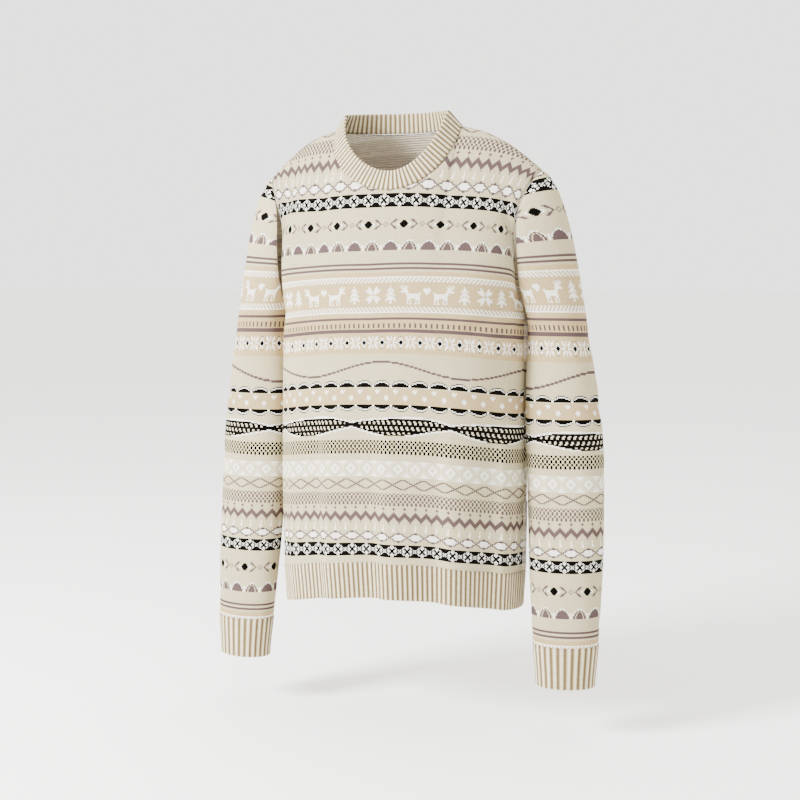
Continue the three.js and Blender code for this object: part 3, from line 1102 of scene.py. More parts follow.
def mesh_rows(chart: np.ndarray, first: int, last: int, most: int = 4) -> list[int]:
    """Picks the rows at which a mesh needs an edge, with plain rows taken together.

    Args:
        chart: one repeat's letters.
        first: the lowest row.
        last: the row above the highest.
        most: how many plain rows may go together.

    Returns:
        The rows.
    """
    plain = np.array([len(set(row)) == 1 for row in chart])
    rows = [first]
    for row in range(first + 1, last):
        now, before = row % REPEAT_ROWS, (row - 1) % REPEAT_ROWS
        same = plain[now] and plain[before] and chart[now][0] == chart[before][0]
        if not same or row - rows[-1] >= most:
            rows.append(row)
    return rows + [last]


@dataclass
class Sheet:
    """A grid of points on a piece of cloth, with its own directions and lengths."""

    place: np.ndarray
    normal: np.ndarray
    u: np.ndarray
    v: np.ndarray

    @staticmethod
    def of(place: np.ndarray, middle: int, outward: np.ndarray) -> "Sheet":
        """Measures a grid.

        Args:
            place: points, columns first and then up each column.
            middle: the column from which lengths along the courses count.
            outward: a rough direction out of the cloth, for the grid or for each point.

        Returns:
            The sheet.
        """
        along = np.gradient(place, axis=0)
        up = np.gradient(place, axis=1)
        normal = unit(np.cross(along, up))
        flip = np.sign(np.sum(normal * outward, axis=-1, keepdims=True))
        normal = normal * np.where(flip == 0, 1, flip)
        step_u = np.linalg.norm(np.diff(place, axis=0), axis=-1)
        u = np.concatenate([np.zeros((1, place.shape[1])), np.cumsum(step_u, axis=0)])
        step_v = np.linalg.norm(np.diff(place, axis=1), axis=-1)
        v = np.concatenate([np.zeros((place.shape[0], 1)), np.cumsum(step_v, axis=1)], axis=1)
        return Sheet(place, normal, u - u[middle], v)

    def pressed(self, creases: Sequence[Crease]) -> None:
        """Presses creases into the cloth.

        Args:
            creases: what to press.
        """
        for crease in creases:
            self.place = self.place - self.normal * crease.press(self.u, self.v)[..., None]


def made_object(name: str, verts: np.ndarray, faces: list, materials: Sequence) -> bpy.types.Object:
    """Makes an object from points and faces, smooth all over.

    Args:
        name: its name.
        verts: the points.
        faces: tuples of indices.
        materials: its materials.

    Returns:
        The object, linked to the scene.
    """
    mesh = bpy.data.meshes.new(name)
    mesh.from_pydata([tuple(p) for p in verts.tolist()], [], faces)
    mesh.polygons.foreach_set("use_smooth", [True] * len(mesh.polygons))
    for material in materials:
        mesh.materials.append(material)
    made = bpy.data.objects.new(name, mesh)
    bpy.context.scene.collection.objects.link(made)
    return made


def add_uv(made: bpy.types.Object, coordinates: np.ndarray) -> None:
    """Gives an object its stitch map, where one unit is one stitch.

    Args:
        made: the object.
        coordinates: two numbers for each face corner.
    """
    layer = made.data.uv_layers.new(name="stitches")
    layer.data.foreach_set("uv", coordinates.astype(np.float32).ravel())


def add_colours(made: bpy.types.Object, colours: np.ndarray) -> None:
    """Gives each face of an object its yarn's colour.

    Args:
        made: the object.
        colours: four numbers for each face.
    """
    layer = made.data.attributes.new("yarn", "FLOAT_COLOR", "FACE")
    layer.data.foreach_set("color", colours.astype(np.float32).ravel())


def stitched(name: str, sheet: Sheet, lengths: Callable, rows: Sequence[int], colours: np.ndarray,
             turned: bool, material: bpy.types.Material, step: int = 1) -> bpy.types.Object:
    """Makes cloth with one face for each stitch, trimmed where each column ends.

    Args:
        name: the object's name.
        sheet: its points, one column for each edge between stitches.
        lengths: turns rows into lengths up the cloth.
        rows: the rows at which the mesh has edges.
        colours: a linear colour for each row of one repeat and each column of faces.
        turned: whether the faces run the other way round.
        material: its material.
        step: how many stitches a face spans.

    Returns:
        The object.
    """
    heights = lengths(np.array(rows, dtype=float))
    picked = [*range(0, len(sheet.place) - 1, step), len(sheet.place) - 1]
    verts, base, last, row_of = [], [], [], []
    for i in picked:
        own = sheet.v[i]
        end = int(np.searchsorted(heights, own[-1] - SAME_LENGTH))
        taken = np.append(heights[:end], own[-1])
        base.append(len(verts))
        last.append(end)
        xyz = np.stack([np.interp(taken, own, sheet.place[i, :, k]) for k in range(3)], axis=-1)
        verts.extend(xyz.tolist())
        top = np.interp(own[-1], heights, np.array(rows, dtype=float))
        row_of.append(np.append(np.array(rows[:end], dtype=float), top))
    faces, corners, colour_rows, colour_columns = [], [], [], []
    for i in range(len(picked) - 1):
        for k in range(max(last[i], last[i + 1])):
            ring = ((i, k), (i + 1, k), (i + 1, k + 1), (i, k + 1))
            face, uv = [], []
            for column, row in ring:
                own = min(row, last[column])
                index = base[column] + own
                if index not in face:
                    face.append(index)
                    uv.append((picked[column], row_of[column][own]))
            if len(face) < 3:
                continue
            if turned:
                face.reverse()
                uv.reverse()
            faces.append(tuple(face))
            corners.extend(uv)
            colour_rows.append(rows[k] % REPEAT_ROWS)
            colour_columns.append(i)
    made = made_object(name, np.array(verts), faces, [material])
    add_uv(made, np.array(corners))
    add_colours(made, colours[colour_rows, colour_columns])
    return made


def inside_skin(name: str, sheet: Sheet, wall: float, lengths: Callable, rows: Sequence[int],
                chart: np.ndarray, turned: bool, material: bpy.types.Material) -> bpy.types.Object:
    """Makes the inner face of cloth.

    Args:
        name: the object's name.
        sheet: the outer face's points.
        wall: the cloth's thickness.
        lengths: turns rows into lengths up the cloth.
        rows: the rows at which the mesh has edges.
        chart: one repeat's letters.
        turned: whether the faces run the other way round.
        material: its material.

    Returns:
        The object.
    """
    inner = Sheet(sheet.place - sheet.normal * wall, sheet.normal, sheet.u, sheet.v)
    colours = floats(chart, INSIDE_STEP)
    return stitched(name, inner, lengths, rows, colours, not turned, material, INSIDE_STEP)


def floats(chart: np.ndarray, every: int) -> np.ndarray:
    """Works out the inner side's colours, where each row's own yarns show as mixed floats.

    Args:
        chart: one repeat's letters.
        every: how many stitches are taken together.

    Returns:
        A linear colour for each row and group of stitches.
    """
    own = coloured(chart)
    groups = [own[:, i : i + every].mean(axis=1) for i in range(0, chart.shape[1], every)]
    mixed = own.mean(axis=1, keepdims=True)
    plain = np.array(linear(INSIDE_COLOUR), dtype=np.float32)
    return FLOAT_OWN_SHARE * np.stack(groups, axis=1) + FLOAT_ROW_SHARE * mixed + FLOAT_PLAIN_SHARE * plain


MATH = "ShaderNodeMath"
MULTIPLY = {"operation": "MULTIPLY"}
MULTIPLY_ADD = {"operation": "MULTIPLY_ADD"}
SUBTRACT = {"operation": "SUBTRACT"}
ABSOLUTE = {"operation": "ABSOLUTE"}
FRACT = {"operation": "FRACT"}
SINE = {"operation": "SINE"}
POWER = {"operation": "POWER"}


def add_node(tree: bpy.types.NodeTree, kind: str, settings: dict | None = None,
             values: dict | None = None) -> bpy.types.Node:
    """Adds a shader node.

    Args:
        tree: the material's nodes.
        kind: the node's type.
        settings: attributes to set on it.
        values: inputs to set, each a value or another node's output to link.

    Returns:
        The node.
    """
    node = tree.nodes.new(kind)
    for name, value in (settings or {}).items():
        setattr(node, name, value)
    for name, value in (values or {}).items():
        if isinstance(value, bpy.types.NodeSocket):
            tree.links.new(value, node.inputs[name])
        else:
            node.inputs[name].default_value = value
    return node


def blank(name: str) -> tuple[bpy.types.Material, bpy.types.NodeTree]:
    """Makes an empty node material.

    Args:
        name: what it is.

    Returns:
        The material and its nodes.
    """
    material = bpy.data.materials.new(name)
    material.use_nodes = True
    material.node_tree.nodes.clear()
    return material, material.node_tree


def finish_wool(tree: bpy.types.NodeTree, colour: bpy.types.NodeSocket, height: bpy.types.NodeSocket,
                depth: float) -> None:
    """Ends a wool material: its shader with a soft nap, its bump, and painted shade that darkens the colour
    in the grooves between stitches.

    Args:
        tree: the material's nodes.
        colour: the yarn's colour.
        height: the stitches' height, from 0 to 1; it drives the bump and the painted groove shade.
        depth: how deep the stitches are, in metres.
    """
    coordinates = add_node(tree, "ShaderNodeTexCoord").outputs["Object"]
    grain = {"Vector": coordinates, "Scale": FLUFF_SCALE, "Detail": 2.0}
    fluff = add_node(tree, "ShaderNodeTexNoise", None, grain).outputs[0]
    uv = add_node(tree, "ShaderNodeUVMap", {"uv_map": "stitches"}).outputs[0]
    whole = add_node(tree, "ShaderNodeVectorMath", {"operation": "FLOOR"}, {0: uv}).outputs[0]
    flat_noise = {"noise_dimensions": "2D"}
    mottle = add_node(tree, "ShaderNodeTexWhiteNoise", flat_noise, {"Vector": whole}).outputs[0]
    tone_and_painted_shade = add_node(tree, MATH, MULTIPLY_ADD, {0: fluff, 1: FLUFF_SHADE, 2: FLUFF_BASE}).outputs[0]
    tone_and_painted_shade = add_node(tree, MATH, MULTIPLY_ADD, {0: mottle, 1: MOTTLE_SHADE, 2: tone_and_painted_shade}).outputs[0]
    # painted shade: the colour is darkened in the grooves between stitches and rows, where the height is low
    painted_groove_shade = add_node(tree, MATH, MULTIPLY_ADD, {0: height, 1: PAINTED_GROOVE_SHADE, 2: PAINTED_GROOVE_BASE}).outputs[0]
    tone_and_painted_shade = add_node(tree, MATH, MULTIPLY, {0: tone_and_painted_shade, 1: painted_groove_shade}).outputs[0]
    mixed = add_node(tree, "ShaderNodeVectorMath", {"operation": "SCALE"}, {0: colour, "Scale": tone_and_painted_shade})
    raised = add_node(tree, MATH, MULTIPLY_ADD, {0: fluff, 1: FLUFF_BUMP, 2: height}).outputs[0]
    bump = add_node(tree, "ShaderNodeBump", None, {"Strength": 1.0, "Distance": depth, "Height": raised})
    shader = add_node(
        tree,
        "ShaderNodeBsdfPrincipled",
        None,
        {
            "Base Color": mixed.outputs[0],
            "Roughness": 0.95,
            "Specular IOR Level": 0.02,
            "Sheen Weight": 0.02,
            "Sheen Roughness": 0.5,
            "Sheen Tint": linear("#a3977f"),
            "Normal": bump.outputs[0],
        },
    )
    add_node(tree, "ShaderNodeOutputMaterial", None, {"Surface": shader.outputs[0]})


@dataclass(frozen=True)
class JerseyFinish:
    """Stocking stitch in several yarns: rows of small Vs, each of its own yarn's colour."""

    stitch_depth: float = 0.0006

    def material(self) -> bpy.types.Material:
        """Makes the material.

        Returns:
            The material.
        """
        material, tree = blank("stranded jersey, right side")
        yarn = add_node(tree, "ShaderNodeAttribute", {"attribute_name": "yarn"}).outputs["Color"]
        height = v_stitches(tree)
        finish_wool(tree, yarn, height, self.stitch_depth)
        return material


def v_stitches(tree: bpy.types.NodeTree) -> bpy.types.NodeSocket:
    """The height of stocking stitch, one V for each unit of the stitch map.

    Args:
        tree: the material's nodes.

    Returns:
        From 0 between the stitches to 1 on them.
    """
    uv = add_node(tree, "ShaderNodeUVMap", {"uv_map": "stitches"}).outputs[0]
    split = add_node(tree, "ShaderNodeSeparateXYZ", None, {0: uv})
    across = add_node(tree, MATH, FRACT, {0: split.outputs[0]}).outputs[0]
    off = add_node(tree, MATH, SUBTRACT, {0: across, 1: 0.5}).outputs[0]
    half = add_node(tree, MATH, ABSOLUTE, {0: off}).outputs[0]
    leg = add_node(tree, MATH, MULTIPLY, {0: half, 1: 2.0}).outputs[0]
    slant = add_node(tree, MATH, MULTIPLY, {0: leg, 1: STITCH_SLANT}).outputs[0]
    climb = add_node(tree, MATH, SUBTRACT, {0: split.outputs[1], 1: slant}).outputs[0]
    slanted = add_node(tree, MATH, FRACT, {0: climb}).outputs[0]
    row_turn = add_node(tree, MATH, MULTIPLY, {0: slanted, 1: math.pi}).outputs[0]
    row = add_node(tree, MATH, SINE, {0: row_turn}).outputs[0]
    side_turn = add_node(tree, MATH, MULTIPLY, {0: leg, 1: math.pi}).outputs[0]
    side = add_node(tree, MATH, SINE, {0: side_turn}).outputs[0]
    side = add_node(tree, MATH, ABSOLUTE, {0: side}).outputs[0]
    round_row = add_node(tree, MATH, POWER, {0: row, 1: ROW_ROUND}).outputs[0]
    round_leg = add_node(tree, MATH, POWER, {0: side, 1: LEG_ROUND}).outputs[0]
    return add_node(tree, MATH, MULTIPLY, {0: round_row, 1: round_leg}).outputs[0]


@dataclass(frozen=True)
class InsideFinish:
    """The inner face: level purl bumps with the floats of the other yarns."""

    stitch_depth: float = 0.0007

    def material(self) -> bpy.types.Material:
        """Makes the material.

        Returns:
            The material.
        """
        material, tree = blank("stranded jersey, inner side")
        yarn = add_node(tree, "ShaderNodeAttribute", {"attribute_name": "yarn"}).outputs["Color"]
        uv = add_node(tree, "ShaderNodeUVMap", {"uv_map": "stitches"}).outputs[0]
        split = add_node(tree, "ShaderNodeSeparateXYZ", None, {0: uv})
        turn = add_node(tree, MATH, MULTIPLY, {0: split.outputs[1], 1: QUARTER}).outputs[0]
        wave = add_node(tree, MATH, SINE, {0: turn}).outputs[0]
        row = add_node(tree, MATH, ABSOLUTE, {0: wave}).outputs[0]
        finish_wool(tree, yarn, row, self.stitch_depth)
        return material


@dataclass(frozen=True)
class RibFinish:
    """Ribbing in one yarn, with shade painted into its grooves as a darker colour."""

    top: str = RIB_TOP_COLOUR
    # painted shade colour for the rib grooves
    painted_groove_shade: str = RIB_GROOVE_PAINTED_SHADE
    painted_shade_from: float = 0.06  # places across a rib, from its middle
    painted_shade_full: float = 0.40
    stitch_depth: float = 0.0004

    def material(self) -> bpy.types.Material:
        """Makes the material.

        Returns:
            The material.
        """
        material, tree = blank("ribbing")
        uv = add_node(tree, "ShaderNodeUVMap", {"uv_map": "stitches"}).outputs[0]
        split = add_node(tree, "ShaderNodeSeparateXYZ", None, {0: uv})
        across = add_node(tree, MATH, FRACT, {0: split.outputs[0]}).outputs[0]
        off = add_node(tree, MATH, SUBTRACT, {0: across, 1: 0.5}).outputs[0]
        rib = add_node(tree, MATH, ABSOLUTE, {0: off}).outputs[0]
        deep = add_node(
            tree,
            "ShaderNodeMapRange",
            {"interpolation_type": "SMOOTHSTEP"},
            {"Value": rib, "From Min": self.painted_shade_from, "From Max": self.painted_shade_full},
        ).outputs[0]
        # painted shade: mixes the rib's yarn colour towards the darker groove colour across each rib
        colour = add_node(
            tree,
            "ShaderNodeMix",
            {"data_type": "RGBA"},
            {0: deep, 6: linear(self.top), 7: linear(self.painted_groove_shade)},
        ).outputs[2]
        turn = add_node(tree, MATH, MULTIPLY, {0: split.outputs[1], 1: math.pi}).outputs[0]
        wave = add_node(tree, MATH, SINE, {0: turn}).outputs[0]
        row = add_node(tree, MATH, ABSOLUTE, {0: wave}).outputs[0]
        finish_wool(tree, colour, row, self.stitch_depth)
        return material


@dataclass(frozen=True)
class StageFinish:
    """The plain pale floor and backdrop."""

    colour: str = "#fcfbf9"

    def material(self) -> bpy.types.Material:
        """Makes the material.

        Returns:
            The material.
        """
        material, tree = blank("pale paper")
        values = {"Base Color": linear(self.colour), "Roughness": 0.9}
        shader = add_node(tree, "ShaderNodeBsdfPrincipled", None, values)
        add_node(tree, "ShaderNodeOutputMaterial", None, {"Surface": shader.outputs[0]})
        return material


@dataclass(frozen=True)
class Lift:
    """How much higher the courses lie at a panel's two edges than in its middle, at one height."""

    height: float
    right: float
    left: float


@dataclass
class Panel:
    """The front or the back, from the hem rib to the shoulder seams and the neck."""

    side: Side
    creases: tuple[Crease, ...]
    lifts: tuple[Lift, ...]
    # Heights in the colourwork, and the lengths up the panel that come there.
    stretch: tuple[tuple[float, float], ...] = (
        (0, 0), (0.006, 0.008), (0.024, 0.026), (0.464, 0.464), (0.483, 0.486), (0.683, 0.756),
    )
    middle_stitch: float = 0.92  # the width of a stitch in the middle, as a share of the mean
    lift_reach: float = 0.2
    wall: float = 0.0022
    seam_dip: float = 0.0012
    seam_reach: float = 0.003
    samples: int = 420

    def grid(self) -> tuple[Sheet, np.ndarray]:
        """Works out the panel's points and its stitches' places.

        Returns:
            The sheet and the place of each column of stitches in the chart.
        """
        fine = np.linspace(-1, 1, ARC_SAMPLES)
        chest = CUT.body(self.side, fine, np.full(fine.shape, CUT.underarm_z))
        run = np.append(0, np.cumsum(np.linalg.norm(np.diff(chest, axis=0), axis=-1)))
        count = 2 * round(run[-1] / STITCH_WIDTH / 2)
        t = np.linspace(-1, 1, count + 1)
        wider = self.middle_stitch * t + (1 - self.middle_stitch) * t * np.abs(t) ** 3
        s = np.interp((1 + wider) * run[-1] / 2, run, fine)
        half = self.samples // 2
        v = np.concatenate([np.linspace(0, 1, half), np.linspace(1, 2, half + 1)[1:]])
        place = CUT.panel(self.side, s[:, None], v[None, :])
        sheet = Sheet.of(place, count // 2, np.array([0, self.side.sign, 0.35]))
        sheet.pressed(self.creases)
        edge = np.minimum(sheet.u - sheet.u[0], sheet.u[-1] - sheet.u)
        top = sheet.v[:, -1:] - sheet.v
        near = np.minimum(edge, top)
        dip = self.seam_dip * np.exp(-((near / self.seam_reach) ** 2))
        sheet.place = sheet.place - sheet.normal * dip[..., None]
        return sheet, np.arange(count) - count // 2

    def build(self, outer: bpy.types.Material, inner: bpy.types.Material) -> None:
        """Builds the panel in place of its solid.

        Args:
            outer: the right side's material.
            inner: the inner side's material.
        """
        sheet, columns = self.grid()
        chart = knit(columns)
        heights = [lift.height for lift in self.lifts]
        right = np.interp(sheet.v, heights, [lift.right for lift in self.lifts])
        left = np.interp(sheet.v, heights, [lift.left for lift in self.lifts])
        share = np.clip(np.abs(sheet.u[:, :1]) / self.lift_reach, 0, 1) ** 1.5
        lifted = sheet.v - share * np.where(sheet.u[:, :1] < 0, right, left)
        sheet.v = np.maximum.accumulate(np.maximum(lifted, 0), axis=1)
        chart_heights, lengths = np.array(self.stretch).T
        last = int(np.interp(sheet.v.max(), lengths, chart_heights) / ROW_HEIGHT) + 1

        def up_panel(row: np.ndarray) -> np.ndarray:
            """Lengths up the panel at rows of the colourwork."""
            return np.interp(row * ROW_HEIGHT, chart_heights, lengths)

        rows = mesh_rows(chart, 0, last)
        name = self.side.name + "_panel"
        turned = self.side is BACK
        made = stitched(name + "_cloth", sheet, up_panel, rows, coloured(chart), turned, outer)
        lining = inside_skin(name + "_inside", sheet, self.wall, up_panel, rows, chart, turned, inner)
        dress(made, name, [lining])
        LOG.info("%s: %d faces, %d inside", name, len(made.data.polygons), len(lining.data.polygons))


def dress(made: bpy.types.Object, node: str, others: Sequence[bpy.types.Object]) -> None:
    """Args:
        made: the piece.
        node: the solid's name.
        others: pieces that go with it.
    """
    for piece in (made, *others):
        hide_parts(node)
        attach(piece, "root")


@dataclass
class Sleeve:
    """A sleeve, set in at the armhole and ending at the cuff."""

    name: str
    mirror: int
    creases: tuple[Crease, ...]
    # Lengths up from the cuff, and the heights in the colourwork that come there.
    stretch: tuple[tuple[float, float], ...] = (
        (0, -0.089), (0.097, 0.008), (0.327, 0.238), (0.49, 0.368), (0.603, 0.465), (0.64, 0.497),
    )
    wall: float = 0.0022
    seam_dip: float = 0.0012
    seam_reach: float = 0.003
    samples: int = 400
    widest_z: float = -0.43

    def build(self, outer: bpy.types.Material, inner: bpy.types.Material) -> None:
        """Builds the sleeve in place of its solid.

        Args:
            outer: the right side's material.
            inner: the inner side's material.
        """
        fine = np.linspace(-math.pi, math.pi, ARC_SAMPLES)
        ring = CUT.arm(fine, np.full(fine.shape, self.widest_z))
        run = np.append(0, np.cumsum(np.linalg.norm(np.diff(ring, axis=0), axis=-1)))
        count = 2 * round(run[-1] / STITCH_WIDTH / 2)
        a = np.interp(np.linspace(0, run[-1], count + 1), run, fine)
        place = CUT.sleeve(a[:, None], np.linspace(2, 0, self.samples)[None, :])
        out = points(np.cos(a), -np.sin(a), 0 * a)[:, None, :]
        sheet = Sheet.of(place, count // 2, out)
        sheet.normal[0] = sheet.normal[-1] = unit(sheet.normal[0] + sheet.normal[-1])
        sheet.pressed(self.creases)
        sheet.place[-1] = sheet.place[0]
        near = sheet.v[:, -1:] - sheet.v
        dip = self.seam_dip * np.exp(-((near / self.seam_reach) ** 2))
        sheet.place = (sheet.place - sheet.normal * dip[..., None]) * np.array([self.mirror, 1, 1])
        sheet.normal = sheet.normal * np.array([self.mirror, 1, 1])
        columns = np.arange(count) - count // 2
        chart = knit(columns)
        lengths, heights = np.array(self.stretch).T
        first = math.ceil(heights[0] / ROW_HEIGHT)
        highest = float(np.interp(sheet.v.max(), lengths, heights))
        rows = mesh_rows(chart, first, int(highest / ROW_HEIGHT) + 1)
        turned = self.mirror > 0

        def up_sleeve(row: np.ndarray) -> np.ndarray:
            """Lengths up the sleeve at rows of the colourwork."""
            return np.maximum(np.interp(row * ROW_HEIGHT, heights, lengths) * (row > first), 0)

        made = stitched(self.name + "_cloth", sheet, up_sleeve, rows, coloured(chart), turned, outer)
        lining = inside_skin(self.name + "_inside", sheet, self.wall, up_sleeve, rows, chart, turned, inner)
        dress(made, self.name, [lining])
        LOG.info("%s: %d faces, %d inside", self.name, len(made.data.polygons), len(lining.data.polygons))


@dataclass
class Ribbing:
    """A strip of ribbing, closed into a ring or cut at its ends."""

    node: str
    surface: Callable[[np.ndarray, np.ndarray], np.ndarray]
    outward: Callable[[np.ndarray], np.ndarray]
    turns: np.ndarray
    height: float
    ribs: int
    closed: bool
    flat: tuple[float, float]
    wall: float = 0.003
    raise_top: float = 0.0011
    steps_up: int = 9
    steps_round: int = 5

    def build(self, material: bpy.types.Material) -> None:
        """Builds the ribbing in place of its solid.

        Args:
            material: its material.
        """
        straight = self.height - self.wall / 2
        up = np.linspace(0, straight, self.steps_up)
        face = self.surface(self.turns[:, None], up[None, :])
        along = np.gradient(face, axis=0)
        if self.closed:
            along[0] = along[-1] = face[1] - face[-2]
        rise = unit(np.gradient(face, axis=1))
        normal = unit(np.cross(along, rise))
        flip = np.sign(np.sum(normal * self.outward(self.turns)[:, None, :], axis=-1, keepdims=True))
        normal = normal * np.where(flip == 0, 1, flip)
        count = len(self.turns) - 1
        phase = np.arange(count + 1) / count * self.ribs
        near = np.abs(phase % 1 - 0.5) * 2
        rib = (1 - smooth(near, 0.45, 1.0)) * self.raise_top
        outer = face + normal * rib[:, None, None]
        inner = face[:, ::-1] - normal[:, ::-1] * (self.wall - 0.5 * rib[:, None, None])
        end_normal, end_rise = normal[:, -1], rise[:, -1]
        swing = np.linspace(0, np.pi, self.steps_round + 2)[1:-1]
        middle = (outer[:, -1] + inner[:, 0]) / 2
        half = np.linalg.norm(outer[:, -1] - inner[:, 0], axis=-1) / 2
        rim = []
        for t in swing:
            across, along_end = half * math.cos(t), half * math.sin(t)
            rim.append(middle + end_normal * across[:, None] + end_rise * along_end[:, None])
        grid = np.concatenate([outer, np.stack(rim, axis=1), inner], axis=1)
        high = grid.shape[1]
        heights = np.concatenate([up, np.full(len(swing), straight), up[::-1]])
        columns = count if self.closed else count + 1
        faces, corners = [], []
        turned = np.dot(np.cross(along[0, 0], rise[0, 0]), self.outward(self.turns)[0]) < 0
        for i in range(count):
            for k in range(high):
                nxt = (k + 1) % high
                ring = [(i, k), (i + 1, k), (i + 1, nxt), (i, nxt)]
                if turned:
                    ring.reverse()
                faces.append(tuple((a % columns) * high + b for a, b in ring))
                corners.extend((phase[a], heights[b] / ROW_HEIGHT) for a, b in ring)
        if not self.closed:
            for i, order in ((0, 1), (count, -1)):
                cap = [i * high + k for k in range(high)][:: order if turned else -order]
                faces.append(tuple(reversed(cap)))
                corners.extend((phase[i], 0.0) for _ in cap)
        made = made_object(self.node + "_cloth", grid[:columns].reshape(-1, 3), faces, [material])
        add_uv(made, np.array(corners))
        dress(made, self.node, [])
        LOG.info("%s: %d faces", self.node, len(made.data.polygons))


def hem_ribbing(side: Side) -> Ribbing:
    """The half of the ribbed hem that hangs from a panel.

    Args:
        side: the front or the back.

    Returns:
        The ribbing.
    """
    ribs, steps = 72, 8
    fine = np.linspace(-1, 1, ARC_SAMPLES)
    low = CUT.body(side, fine, np.full(fine.shape, CUT.rib_top_z))
    run = np.append(0, np.cumsum(np.linalg.norm(np.diff(low, axis=0), axis=-1)))
    s = np.interp(np.linspace(0, run[-1], ribs * steps + 1), run, fine)
    return Ribbing(
        "hem_rib_" + side.name,
        lambda turn, down: CUT.body(side, turn, CUT.rib_top_z - down + 0 * turn),
        lambda turn: points(turn, side.sign + 0 * turn, 0 * turn),
        s, CUT.rib_top_z - CUT.hem_z, ribs, False, (0.47, 0.05),
    )


def cuff_ribbing(name: str, mirror: int) -> Ribbing:
    """A ribbed cuff.

    Args:
        name: the solid's name.
        mirror: 1 for the wearer's left and -1 for the right.

    Returns:
        The ribbing.
    """
    ribs, steps = 28, 8
    scale = np.array([mirror, 1, 1])
    return Ribbing(
        name,
        lambda turn, down: CUT.arm(turn + 0 * down, CUT.cuff_top_z - down + 0 * turn) * scale,
        lambda turn: points(mirror * np.cos(turn), -np.sin(turn), 0 * turn),
        np.linspace(0, 2 * math.pi, ribs * steps + 1),
        CUT.cuff_top_z - CUT.cuff_end_z, ribs, True, (0.22, 0.055),
    )


def collar_ribbing() -> Ribbing:
    """The ribbed collar.

    Returns:
        The ribbing.
    """
    ribs, steps = 78, 8
    fine = np.linspace(0, 2 * math.pi, 2 * ARC_SAMPLES - 1)
    edge = CUT.neck_edge(fine)
    run = np.append(0, np.cumsum(np.linalg.norm(np.diff(edge, axis=0), axis=-1)))
    w = np.interp(np.linspace(0, run[-1], ribs * steps + 1), run, fine)
    return Ribbing(
        "collar_rib",
        lambda turn, up: CUT.collar(turn, up + 0 * turn),
        lambda turn: points(np.cos(turn), -np.sin(turn), 0.2 + 0 * turn),
        w, 0.027, ribs, True, (0.47, 0.027),
    )


@dataclass(frozen=True)
class Lamp:
    """A soft area light."""

    name: str
    place: tuple[float, float, float]
    size: float
    power: float


@dataclass(frozen=True)
class Studio:
    """The camera, the lights and the pale floor."""

    turn: float = math.radians(20)
    pitch: float = math.radians(3)
    distance: float = 1.85
    camera_z: float = -0.196
    focal_px: float = 1370.0
    principal: tuple[float, float] = (397.0, 350.0)
    picture: float = 800.0
    floor_z: float = -0.80
    floor_half: float = 60.0
    world: float = 2.7
    aim: tuple[float, float, float] = (0.0, 0.0, -0.35)
    lamps: tuple[Lamp, ...] = (
        Lamp("key light", (-1.7, -1.9, 0.9), 0.8, 330.0),
        Lamp("fill light", (2.3, -1.9, 0.3), 2.0, 4.0),
        Lamp("top light", (0.0, 0.4, 2.2), 2.0, 30.0),
    )

    def build(self) -> None:
        """Sets up the camera, the lights and the floor."""
        camera = bpy.data.cameras.new("camera")
        camera.sensor_width = 36
        camera.lens = 36 * self.focal_px / self.picture
        camera.shift_x = (self.picture / 2 - self.principal[0]) / self.picture
        camera.shift_y = (self.principal[1] - self.picture / 2) / self.picture
        holder = bpy.data.objects.new("camera", camera)
        across, back = self.distance * math.sin(self.turn), self.distance * math.cos(self.turn)
        holder.location = (across, -back, self.camera_z)
        holder.rotation_euler = (QUARTER - self.pitch, 0, self.turn)
        bpy.context.scene.collection.objects.link(holder)
        bpy.context.scene.camera = holder
        for lamp in self.lamps:
            self.light(lamp)
        self.backdrop()
        world = bpy.data.worlds.new("studio")
        bpy.context.scene.world = world
        world.use_nodes = True
        world.node_tree.nodes["Background"].inputs[0].default_value = linear("#fbfaf8")
        world.node_tree.nodes["Background"].inputs[1].default_value = self.world

    def light(self, lamp: Lamp) -> None:
        """Adds an area light that points at the jumper.

        Args:
            lamp: the light.
        """
        data = bpy.data.lights.new(lamp.name, "AREA")
        data.size = lamp.size
        data.energy = lamp.power
        made = bpy.data.objects.new(lamp.name, data)
        made.location = lamp.place
        x, y, z = (self.aim[k] - lamp.place[k] for k in range(3))
        made.rotation_euler = (math.atan2(math.hypot(x, y), -z), 0, math.atan2(-x, y))
        bpy.context.scene.collection.objects.link(made)

    def backdrop(self) -> None:
        """Adds the floor."""
        half = self.floor_half
        corners = np.array([(-half, -half, self.floor_z), (half, -half, self.floor_z),
                            (half, half, self.floor_z), (-half, half, self.floor_z)])
        floor = made_object("floor", corners, [(0, 1, 2, 3)], [StageFinish().material()])


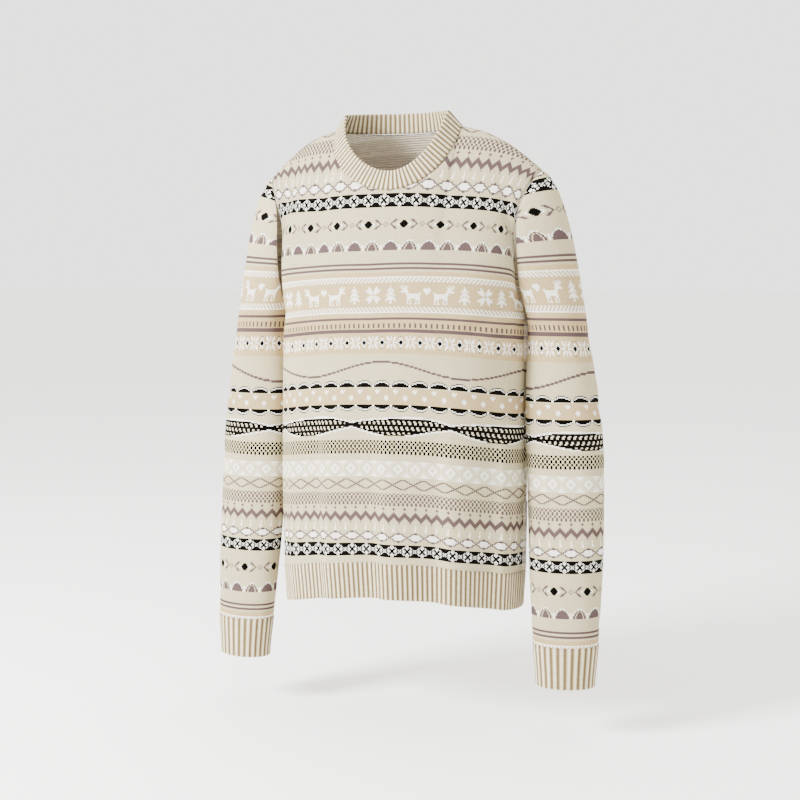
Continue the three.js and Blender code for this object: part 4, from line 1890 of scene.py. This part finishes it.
FRONT_LIFTS = (
    Lift(0.0, 0.0, 0.0),
    Lift(0.03, 0.008, 0.0),
    Lift(0.25, 0.012, 0.004),
    Lift(0.36, 0.018, 0.012),
    Lift(0.42, 0.022, 0.012),
    Lift(0.48, 0.024, 0.005),
    Lift(0.62, 0.024, 0.002),
)
BACK_LIFTS = (Lift(0.0, 0.0, 0.0), Lift(0.62, 0.012, 0.012))
FRONT_CREASES = (
    Crease((-0.212, 0.30), (-0.205, 0.56), 0.026, 0.0075),
    Crease((0.212, 0.33), (0.205, 0.52), 0.012, 0.0030),
    Crease((-0.20, 0.36), (-0.10, 0.30), 0.014, 0.0030),
    Crease((0.20, 0.37), (0.12, 0.30), 0.013, 0.0026),
    Crease((-0.13, 0.40), (-0.07, 0.46), 0.016, 0.0020),
    Crease((0.05, 0.08), (0.02, 0.22), 0.012, 0.0014),
)
BACK_CREASES = (
    Crease((-0.20, 0.37), (-0.09, 0.31), 0.014, 0.0028),
    Crease((0.19, 0.36), (0.08, 0.29), 0.015, 0.0030),
    Crease((-0.04, 0.05), (-0.06, 0.22), 0.013, 0.0016),
    Crease((0.10, 0.06), (0.12, 0.18), 0.012, 0.0015),
)
SLEEVE_CREASES = (
    Crease((-0.02, 0.10), (-0.03, 0.26), 0.007, 0.0014),
    Crease((0.05, 0.33), (-0.04, 0.29), 0.012, 0.0022),
    Crease((0.07, 0.25), (0.00, 0.22), 0.010, 0.0015),
    Crease((-0.07, 0.36), (0.01, 0.41), 0.013, 0.0018),
    Crease((0.04, 0.04), (-0.03, 0.02), 0.008, 0.0012),
    Crease((-0.10, 0.20), (-0.05, 0.13), 0.010, 0.0016),
)


def main() -> None:
    """Builds the jumper and its studio."""
    logging.basicConfig(level=logging.INFO, format="%(message)s")
    outer, inner, rib = JerseyFinish().material(), InsideFinish().material(), RibFinish().material()
    Panel(FRONT, FRONT_CREASES, FRONT_LIFTS).build(outer, inner)
    Panel(BACK, BACK_CREASES, BACK_LIFTS).build(outer, inner)
    Sleeve("sleeve_left", 1, SLEEVE_CREASES).build(outer, inner)
    Sleeve("sleeve_right", -1, SLEEVE_CREASES).build(outer, inner)
    for strip in (
        collar_ribbing(), hem_ribbing(FRONT), hem_ribbing(BACK), cuff_ribbing("cuff_left", 1),
        cuff_ribbing("cuff_right", -1),
    ):
        strip.build(rib)
    Studio().build()


if __name__ == "__main__":
    main()
